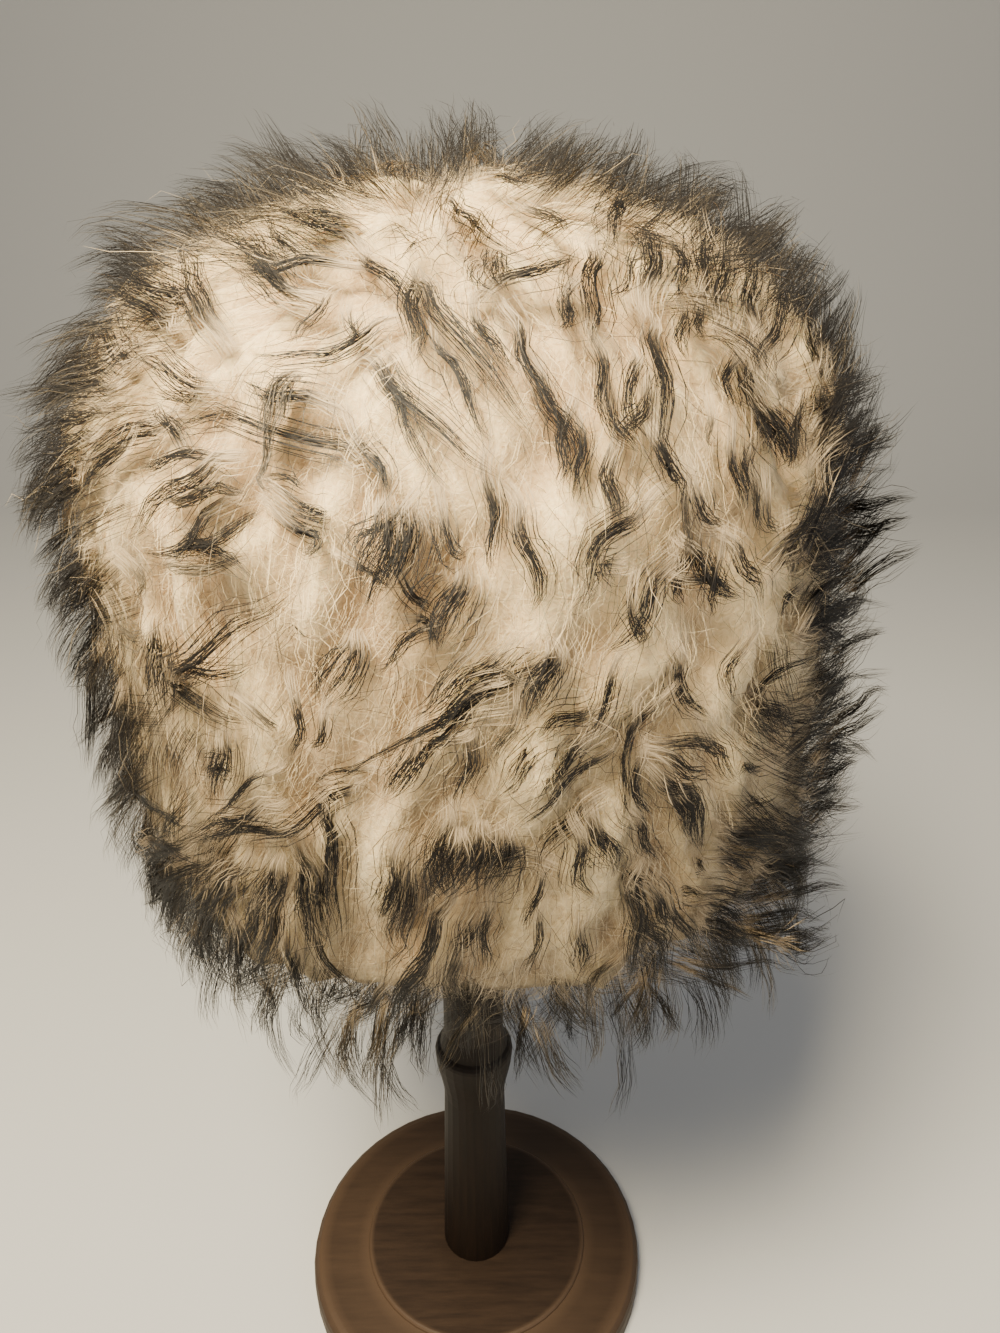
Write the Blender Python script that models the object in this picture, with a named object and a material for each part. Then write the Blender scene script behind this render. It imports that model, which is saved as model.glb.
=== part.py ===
"""A Turkmen telpek, a round hat of long-haired pelt, on the plain turned hat stand that carries it.

Metres, +Z up, the hat's front towards -Y and +X on the right as seen from the front. The origin is
the middle of the stand's foot, on the surface that it stands on.
"""

import bisect
import math
import random

import bmesh
import bpy
from mathutils import Vector

# Clearances
SEAM_GAP = 0.0003  # between pieces that are sewn or glued face to face
SEAT_GAP = 0.0005  # between the stand's dome and the hat that rests on it
SOCKET_CLEARANCE = 0.0003  # round each tenon, and past its end

# The hide: a round side band, and a domed crown panel sewn to its top edge
HEAD_RADIUS = 0.0955
HIDE_THICKNESS = 0.0025
SIDE_HEIGHT = 0.150
CROWN_RISE = 0.052

# The fur that the hide carries: packed underfur, and the locks that stand out of it
SIDE_FUR_DEPTH = 0.033
CROWN_FUR_DEPTH = 0.028
RIM_OVERHANG = 0.010  # how far the underfur reaches below the hide's edge
RIM_ROUNDING = 0.022
LOCK_LENGTH = 0.027
LOCK_COUNT = 380  # over the whole underfur, the covered middle of its underside included
LOCK_SEED = 7

# The shape of a lock, as shares of its length or of its width at the root
LOCK_VARIATION = 0.28
LOCK_DOWNHILL = 0.80  # how far its tip lies towards the rim
LOCK_SIDEWAYS = 0.45  # how far its tip strays to one side
LOCK_WAIST_HEIGHT = 0.45
LOCK_WAIST_WIDTH = 0.60

# Waves in the fur that turn its locks aside: how many go round the hat, how many go down it from
# crown to rim, and the share of the sideways lean that each one brings
WAVES = [
    # (around, down, share)
    (2, 1.5, 0.40),
    (5, -2.0, 0.25),
]

# How the hat sits on its stand
HAT_LEAN = math.radians(3.0)  # the crown leans towards -X

# The stand
STAND_HEIGHT = 0.514
FOOT_RADIUS = 0.090
FOOT_THICKNESS = 0.020
FOOT_EDGE_ROUNDING = 0.006
FOOT_BOTTOM_CHAMFER = 0.0015
FOOT_FALL = 0.0015  # from the ring to the edge
RING_INSET = 0.032  # from the foot's edge to its turned ring
RING_STEP = 0.0018
FOOT_SOCKET_FLOOR = 0.008  # wood left under the post
POST_FOOT_RADIUS = 0.0178
POST_WAIST_RADIUS = 0.0152
POST_NECK_RADIUS = 0.0145
WAIST_HEIGHT = 0.131
COLLAR_HEIGHT = 0.160
COLLAR_RADIUS = 0.0192
COLLAR_ROUNDING = 0.005
COLLAR_FALL = 0.008  # from the collar's edge up to the neck
TENON_SHOULDER = 0.0045
DOME_TENON_LENGTH = 0.012
DOME_INSET = 0.0205  # from the head opening's wall to the dome's edge
DOME_RISE = 0.050
DOME_EDGE_ROUNDING = 0.007

# How finely the round pieces are faceted
HIDE_SIDES = 48
FOOT_SIDES = 48
POST_SIDES = 24
DOME_SIDES = 40
CROWN_STEPS = 8
ROUND_STEPS = 3
SWELL_STEPS = 5
SURVEY_STEPS = 24  # on each stretch of the underfur's outline, which only places the locks
SHARP_ANGLE = math.radians(38)

# Worked out from the sizes above. A height that starts with hat is in the hat's own frame, whose
# origin is the centre of the dome's curve, so that the hat leans by turning about it
HIDE_RADIUS = HEAD_RADIUS + HIDE_THICKNESS
HOLLOW_RADIUS = HIDE_RADIUS + SEAM_GAP
DOME_RADIUS = HEAD_RADIUS - DOME_INSET
DOME_CURVE = DOME_RADIUS**2 / DOME_RISE
DOME_EQUATOR = STAND_HEIGHT - DOME_RISE
DOME_UNDERSIDE = DOME_EQUATOR - DOME_EDGE_ROUNDING
TENON_RADIUS = POST_NECK_RADIUS - TENON_SHOULDER
SOCKET_RADIUS = TENON_RADIUS + SOCKET_CLEARANCE
RING_RADIUS = FOOT_RADIUS - RING_INSET
HAT_PIVOT = STAND_HEIGHT - DOME_CURVE
HAT_SEAM = DOME_CURVE + SEAT_GAP - CROWN_RISE
HAT_RIM = HAT_SEAM - SEAM_GAP - SIDE_HEIGHT
HAT_FUR_BOTTOM = HAT_RIM - RIM_OVERHANG


def clear_scene():
    for obj in list(bpy.data.objects):
        bpy.data.objects.remove(obj)


def material(name, color, roughness):
    mat = bpy.data.materials.new(name)
    mat.use_nodes = True
    shader = mat.node_tree.nodes["Principled BSDF"]
    shader.inputs["Base Color"].default_value = (*color, 1.0)
    shader.inputs["Roughness"].default_value = roughness
    shader.inputs["Metallic"].default_value = 0.0
    mat.diffuse_color = (*color, 1.0)
    return mat


def add_object(name, shape, mat, parent=None):
    """Turns a bmesh into an object, shaded smooth but for its sharp edges."""
    mesh = bpy.data.meshes.new(name)
    shape.to_mesh(mesh)
    shape.free()
    mesh.shade_smooth()
    mesh.set_sharp_from_angle(angle=SHARP_ANGLE)
    if mat:
        mesh.materials.append(mat)
    obj = bpy.data.objects.new(name, mesh)
    obj.parent = parent
    bpy.context.scene.collection.objects.link(obj)
    return obj


def arc(centre, radii, start, end, steps):
    """Points (radius, height) on an elliptical arc, from one angle to another in degrees."""
    points = []
    for i in range(steps + 1):
        angle = math.radians(start + (end - start) * i / steps)
        points.append((centre[0] + radii[0] * math.cos(angle), centre[1] + radii[1] * math.sin(angle)))
    return points


def turned(outline, sides):
    """A body turned about Z. Its outline of (radius, height) runs from axis to axis, or is a ring."""
    shape = bmesh.new()
    points = [shape.verts.new((max(radius, 0.0), 0.0, height)) for radius, height in outline]
    edges = [shape.edges.new(pair) for pair in zip(points, points[1:])]
    if outline[0][0] > 0:
        edges.append(shape.edges.new((points[-1], points[0])))
    bmesh.ops.spin(shape, geom=edges, axis=(0, 0, 1), angle=math.tau, steps=sides)
    bmesh.ops.remove_doubles(shape, verts=shape.verts, dist=1e-6)
    bmesh.ops.recalc_face_normals(shape, faces=shape.faces)
    return shape


def crown_curve(grown=0.0):
    """The crown's half section, from its top down to its edge, this far outside the head's."""
    return arc((0, HAT_SEAM), (HEAD_RADIUS + grown, CROWN_RISE + grown), 90, 0, CROWN_STEPS)


def hide_crown(mat, hat):
    outline = crown_curve(HIDE_THICKNESS) + crown_curve()[::-1]
    add_object("hide_crown", turned(outline, HIDE_SIDES), mat, hat)


def hide_side(mat, hat):
    top = HAT_SEAM - SEAM_GAP
    outline = [(HIDE_RADIUS, top), (HIDE_RADIUS, HAT_RIM), (HEAD_RADIUS, HAT_RIM), (HEAD_RADIUS, top)]
    add_object("hide_side", turned(outline, HIDE_SIDES), mat, hat)


def underfur_outline():
    """The underfur's half section, from the crown's top to the middle of its underside."""
    reach = HIDE_RADIUS + SIDE_FUR_DEPTH
    rise = CROWN_RISE + HIDE_THICKNESS + CROWN_FUR_DEPTH
    corner = (reach - RIM_ROUNDING, HAT_FUR_BOTTOM + RIM_ROUNDING)
    crown = arc((0, HAT_SEAM), (reach, rise), 90, 0, SURVEY_STEPS)
    rim = arc(corner, (RIM_ROUNDING, RIM_ROUNDING), 0, -90, SURVEY_STEPS)
    return crown + rim + [(0.0, HAT_FUR_BOTTOM)]


class Survey:
    """Finds places on a turned surface by the share of its area that lies above them."""

    def __init__(self, outline):
        self.outline = outline
        self.above = [0.0]
        for (r0, z0), (r1, z1) in zip(outline, outline[1:]):
            band = math.pi * (r0 + r1) * math.hypot(r1 - r0, z1 - z0)
            self.above.append(self.above[-1] + band)

    def at(self, share, angle):
        """(place, outward, downhill, sideways) for this share of the area, at this angle round Z."""
        wanted = share * self.above[-1]
        i = min(max(bisect.bisect_right(self.above, wanted), 1), len(self.outline) - 1)
        (r0, z0), (r1, z1) = self.outline[i - 1], self.outline[i]
        past = (wanted - self.above[i - 1]) / (self.above[i] - self.above[i - 1])
        slope = Vector((r1 - r0, z1 - z0)).normalized()
        around = Vector((math.cos(angle), math.sin(angle), 0))
        up = Vector((0, 0, 1))
        place = around * (r0 + (r1 - r0) * past) + up * (z0 + (z1 - z0) * past)
        outward = around * -slope.y + up * slope.x
        downhill = around * slope.x + up * slope.y
        return place, outward, downhill, up.cross(around)


def spiral(count):
    """Evenly spread (share of area, angle) pairs, as seeds sit in a flower's head."""
    golden = math.pi * (3 - math.sqrt(5))
    return [((i + 0.5) / count, i * golden) for i in range(count)]


def cells(sites):
    """Divides a ball's surface between its sites.

    Returns the sites that meet at each corner, and the corners that go round each site.
    """
    ball = bmesh.new()
    for share, angle in sites:
        height = 1 - 2 * share
        radius = math.sqrt(1 - height**2)
        ball.verts.new((radius * math.cos(angle), radius * math.sin(angle), height))
    bmesh.ops.convex_hull(ball, input=ball.verts)
    bmesh.ops.triangulate(ball, faces=ball.faces)
    ball.verts.index_update()
    ball.faces.index_update()
    meeting = [[vert.index for vert in face.verts] for face in ball.faces]
    rings = []
    for vert in ball.verts:
        across = vert.co.orthogonal().normalized()
        along = vert.co.cross(across)
        turns = []
        for face in vert.link_faces:
            arm = face.calc_center_median() - vert.co
            turns.append((math.atan2(arm.dot(along), arm.dot(across)), face.index))
        rings.append([index for _, index in sorted(turns)])
    ball.free()
    return meeting, rings


def lock_lean(share, angle, frame, chance):
    """Where a lock's tip strays from straight out, for a lock of length 1."""
    _, outward, downhill, sideways = frame
    aside = chance.uniform(-1, 1) * (1 - sum(wave[2] for wave in WAVES))
    for around, down, part in WAVES:
        aside += part * math.sin(around * angle + math.tau * down * share)
    # The locks under the rim hang straight down
    hold = min(1.0, 1.0 + outward.z)
    return downhill * LOCK_DOWNHILL * hold + sideways * LOCK_SIDEWAYS * aside * hold


def grow_lock(shape, cell, place, outward, lean, length):
    """Grows a lock out of a cell of the underfur: it narrows to a waist, then bends over to a tip."""
    waist = place + (outward + lean * LOCK_WAIST_HEIGHT).normalized() * length * LOCK_WAIST_HEIGHT
    tip = shape.verts.new(place + (outward + lean).normalized() * length)
    middle = sum((vert.co for vert in cell), Vector()) / len(cell)
    ring = [shape.verts.new(waist + (vert.co - middle) * LOCK_WAIST_WIDTH) for vert in cell]
    for i, corner in enumerate(cell):
        j = (i + 1) % len(cell)
        shape.faces.new((corner, cell[j], ring[j], ring[i]))
        shape.faces.new((ring[i], ring[j], tip))


def fur_shape():
    """Locks fused to the underfur, as one closed skin whose underside is flat under the hollow."""
    chance = random.Random(LOCK_SEED)
    survey = Survey(underfur_outline())
    sites = spiral(LOCK_COUNT)
    meeting, rings = cells(sites)
    frames = [survey.at(*site) for site in sites]
    shape = bmesh.new()
    corners = [shape.verts.new(sum((frames[i][0] for i in group), Vector()) / 3) for group in meeting]
    for (share, angle), frame, ring in zip(sites, frames, rings):
        cell = [corners[i] for i in ring]
        length = LOCK_LENGTH * (1 + LOCK_VARIATION * chance.uniform(-1, 1))
        lean = lock_lean(share, angle, frame, chance)
        place, outward = frame[:2]
        underneath = outward.z < -1 + 1e-6
        if underneath and min(vert.co.xy.length for vert in cell) < HOLLOW_RADIUS:
            shape.faces.new(cell)
        else:
            grow_lock(shape, cell, place, outward, lean, length)
    bmesh.ops.recalc_face_normals(shape, faces=shape.faces)
    return shape


def fur_coat(mat, hat):
    fur = add_object("fur_coat", fur_shape(), mat, hat)
    below = HAT_FUR_BOTTOM - RIM_OVERHANG
    outline = crown_curve(HIDE_THICKNESS + SEAM_GAP) + [(HOLLOW_RADIUS, below), (0.0, below)]
    space = add_object("hide_space", turned(outline, HIDE_SIDES), None, hat)
    space.hide_render = True
    space.display_type = "WIRE"
    hollow = fur.modifiers.new("hollow", "BOOLEAN")
    hollow.operation = "DIFFERENCE"
    hollow.object = space


def stand_foot(mat):
    """The foot, from its socket's floor out over the ring line and the edge to its underside."""
    edge = FOOT_RADIUS - FOOT_EDGE_ROUNDING
    shoulder = FOOT_THICKNESS - RING_STEP
    rim = shoulder - FOOT_FALL - FOOT_EDGE_ROUNDING
    outline = [(0.0, FOOT_SOCKET_FLOOR), (SOCKET_RADIUS, FOOT_SOCKET_FLOOR), (SOCKET_RADIUS, FOOT_THICKNESS)]
    outline += arc((RING_RADIUS, shoulder), (RING_STEP, RING_STEP), 90, 0, ROUND_STEPS)
    outline += arc((edge, rim), (FOOT_EDGE_ROUNDING, FOOT_EDGE_ROUNDING), 90, 0, ROUND_STEPS)
    outline += [(FOOT_RADIUS, FOOT_BOTTOM_CHAMFER), (FOOT_RADIUS - FOOT_BOTTOM_CHAMFER, 0.0), (0.0, 0.0)]
    add_object("stand_foot", turned(outline, FOOT_SIDES), mat)


def stand_post(mat):
    """The post, from its lower tenon to its upper one, with the collar that swells above its waist."""
    shoulder = FOOT_THICKNESS + SEAM_GAP
    top = DOME_UNDERSIDE - SEAM_GAP
    end = top + DOME_TENON_LENGTH
    start = FOOT_SOCKET_FLOOR + SOCKET_CLEARANCE
    outline = [(0.0, start), (TENON_RADIUS, start), (TENON_RADIUS, shoulder), (POST_FOOT_RADIUS, shoulder)]
    for i in range(SWELL_STEPS + 1):
        share = i / SWELL_STEPS
        swell = share * share * (3 - 2 * share)
        radius = POST_WAIST_RADIUS + (COLLAR_RADIUS - POST_WAIST_RADIUS) * swell
        outline.append((radius, WAIST_HEIGHT + (COLLAR_HEIGHT - WAIST_HEIGHT) * share))
    collar = (COLLAR_RADIUS - COLLAR_ROUNDING, COLLAR_HEIGHT)
    outline += arc(collar, (COLLAR_ROUNDING, COLLAR_ROUNDING), 0, 60, ROUND_STEPS)[1:]
    neck = COLLAR_HEIGHT + COLLAR_ROUNDING + COLLAR_FALL
    outline += [(POST_NECK_RADIUS, neck), (POST_NECK_RADIUS, top), (TENON_RADIUS, top)]
    outline += [(TENON_RADIUS, end), (0.0, end)]
    add_object("stand_post", turned(outline, POST_SIDES), mat)


def stand_dome(mat):
    """The rounded head that the hat rests on, with a socket for the post."""
    edge = (DOME_RADIUS - DOME_EDGE_ROUNDING, DOME_EQUATOR)
    socket_end = DOME_UNDERSIDE + DOME_TENON_LENGTH + SOCKET_CLEARANCE
    outline = arc((0, DOME_EQUATOR), (DOME_RADIUS, DOME_RISE), 90, 0, CROWN_STEPS)
    outline += arc(edge, (DOME_EDGE_ROUNDING, DOME_EDGE_ROUNDING), 0, -90, ROUND_STEPS)[1:]
    outline += [(SOCKET_RADIUS, DOME_UNDERSIDE), (SOCKET_RADIUS, socket_end), (0.0, socket_end)]
    add_object("stand_dome", turned(outline, DOME_SIDES), mat)


def main():
    clear_scene()
    hide = material("hide", (0.62, 0.50, 0.37), 0.85)
    fur = material("fur", (0.80, 0.70, 0.56), 0.95)
    foot_wood = material("foot_wood", (0.085, 0.052, 0.034), 0.45)
    post_wood = material("post_wood", (0.045, 0.026, 0.016), 0.40)
    dome_wood = material("dome_wood", (0.070, 0.043, 0.028), 0.55)
    hat = bpy.data.objects.new("hat", None)
    hat.location = (0.0, 0.0, HAT_PIVOT)
    hat.rotation_euler = (0.0, -HAT_LEAN, 0.0)
    bpy.context.scene.collection.objects.link(hat)
    hide_crown(hide, hat)
    hide_side(hide, hat)
    fur_coat(fur, hat)
    stand_foot(foot_wood)
    stand_post(post_wood)
    stand_dome(dome_wood)


main()
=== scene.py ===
import math

import bpy
import numpy as np
from mathutils import Matrix, Vector
from mathutils.kdtree import KDTree


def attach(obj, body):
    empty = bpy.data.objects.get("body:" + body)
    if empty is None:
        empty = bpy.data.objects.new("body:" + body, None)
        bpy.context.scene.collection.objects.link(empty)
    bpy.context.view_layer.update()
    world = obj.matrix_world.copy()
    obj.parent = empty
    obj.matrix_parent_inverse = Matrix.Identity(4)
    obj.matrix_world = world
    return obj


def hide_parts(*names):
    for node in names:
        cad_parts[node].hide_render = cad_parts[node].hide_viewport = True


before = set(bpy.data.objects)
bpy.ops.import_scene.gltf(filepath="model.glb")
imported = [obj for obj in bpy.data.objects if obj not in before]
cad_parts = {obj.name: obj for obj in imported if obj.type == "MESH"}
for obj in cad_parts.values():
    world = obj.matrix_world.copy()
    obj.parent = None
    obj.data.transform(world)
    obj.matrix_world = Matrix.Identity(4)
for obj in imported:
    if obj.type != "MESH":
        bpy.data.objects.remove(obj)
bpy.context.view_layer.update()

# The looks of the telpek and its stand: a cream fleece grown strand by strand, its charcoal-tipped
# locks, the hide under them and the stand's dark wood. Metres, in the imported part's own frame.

# The photograph's frame, and the camera fitted to it
PHOTO_WIDTH = 1000
PHOTO_HEIGHT = 1333
FOCAL_PIXELS = 1020
CAMERA_PLACE = (0.013, -0.373, 0.552)
CAMERA_PITCH = math.radians(26)  # below the horizon
SENSOR_SIZE = 36.0
HAT_DISTANCE = 0.42  # from the camera to the hat's front

# The studio
FLOOR_COLOR = (0.50, 0.505, 0.51)
WORLD_COLOR = (1.0, 0.985, 0.96)
WORLD_STRENGTH = 0.30
FLOOR_HALF_WIDTH = 3.0
FLOOR_FRONT = -2.0
FLOOR_BACK = 1.4
BACKDROP_BEND = 0.9
BACKDROP_TOP = 3.0
BEND_STEPS = 12
LIGHTS = [
    # (name, place, aim, side of its square, watts, color)
    ("key_light", (-0.30, -0.56, 1.32), (0.0, 0.0, 0.44), 0.42, 60.0, (1.0, 0.86, 0.60)),
    ("fill_light", (1.10, -0.80, 0.90), (0.0, 0.0, 0.38), 1.20, 5.0, (0.86, 0.92, 1.0)),
]

# The hide, in the hat's own frame: upright, with its origin in the dome's centre of curvature
HAT_LEAN = math.radians(3.0)  # the crown leans towards -X
HAT_ORIGIN = np.array((0.0, 0.0, 0.4015))
HAT_TURN = np.array(Matrix.Rotation(-HAT_LEAN, 3, "Y"))
HIDE_RADIUS = 0.098
HIDE_SEAM = 0.061
HIDE_RIM = -0.0893
CROWN_RISE = 0.0545
CROWN_STEPS = 24
OUTLINE_STEPS = 4 * CROWN_STEPS

# The fleece, whose depths are heights over the hide
BULK_DEPTH = 0.0325  # the felted mass that the strands grow from
CROWN_SHARE = 0.94  # how much of its depth the fleece keeps on the crown
RIM_OVERHANG = 0.010  # how far the felted mass reaches below the rim
RIM_TUCK = BULK_DEPTH - RIM_OVERHANG  # the fleece rounds under the rim from this far above it
ROOT_SINK = 0.002
HIDE_CLEARANCE = 0.0005
GOLDEN_ANGLE = math.pi * (3 - math.sqrt(5))
ANGLE_JITTER = 0.7  # of the usual gap between roots

# The lie of the hair where the photograph shows it
LIE_LEVEL = 0.037
LIE_REACH = 0.034  # how far each charted direction is felt
LIE_BASE = 0.25  # the share of the hat's own downhill lie among the charted ones
LIE_CHART = [
    # (pixel x, pixel y, across to the right, down the picture)
    (440, 150, 0.0, -1.0), (250, 220, -0.8, -0.5), (150, 300, -1.0, -0.3), (620, 180, 0.5, -0.85),
    (720, 250, 0.6, -0.8), (100, 350, -1.0, -0.2), (100, 450, -1.0, 0.2), (60, 500, -1.0, 0.25),
    (160, 520, -0.7, 0.7), (60, 580, -0.7, 0.7), (80, 700, -0.3, 0.95), (110, 750, -0.1, 1.0),
    (340, 420, -1.0, 0.15), (240, 570, 0.8, 0.5), (220, 710, 0.85, 0.45), (480, 390, 0.6, 0.8),
    (400, 330, 0.3, 0.9), (590, 330, 0.0, 1.0), (660, 420, 0.1, 1.0), (700, 480, 0.1, 1.0),
    (740, 500, 0.2, 1.0), (500, 560, 0.0, 1.0), (535, 600, 0.0, 1.0), (590, 600, -0.35, 0.95),
    (620, 640, -0.6, 0.8), (430, 720, -0.8, 0.6), (350, 780, -0.8, 0.6), (600, 730, -0.2, 1.0),
    (540, 740, -0.7, 0.7), (700, 700, 0.4, 0.9), (805, 340, -0.1, -1.0), (850, 400, 0.6, -0.8),
    (870, 470, 0.95, -0.3), (890, 500, 1.0, -0.25), (880, 560, 0.9, -0.45), (860, 620, 0.95, -0.3),
    (870, 680, 0.95, -0.3), (860, 720, 0.9, -0.4), (800, 665, 0.9, -0.45), (270, 840, -0.9, 0.4),
    (200, 860, -0.6, 0.7), (180, 900, -0.5, 0.85), (250, 930, -0.2, 1.0), (330, 900, 0.05, 1.0),
    (320, 1050, -0.2, 1.0), (400, 990, -0.45, 0.9), (480, 960, -0.2, 1.0), (480, 1040, 0.1, 1.0),
    (520, 790, -0.6, 0.8), (540, 900, -0.15, 1.0), (590, 900, 0.1, 1.0), (650, 1000, 0.3, 1.0),
    (680, 820, 0.5, 0.85), (690, 930, 0.5, 0.85), (740, 900, 0.9, 0.3), (760, 850, 0.9, 0.2),
    (780, 930, 0.8, 0.4), (840, 850, 0.95, 0.1), (840, 780, 0.95, -0.1), (720, 990, 0.8, 0.5),
]

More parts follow.
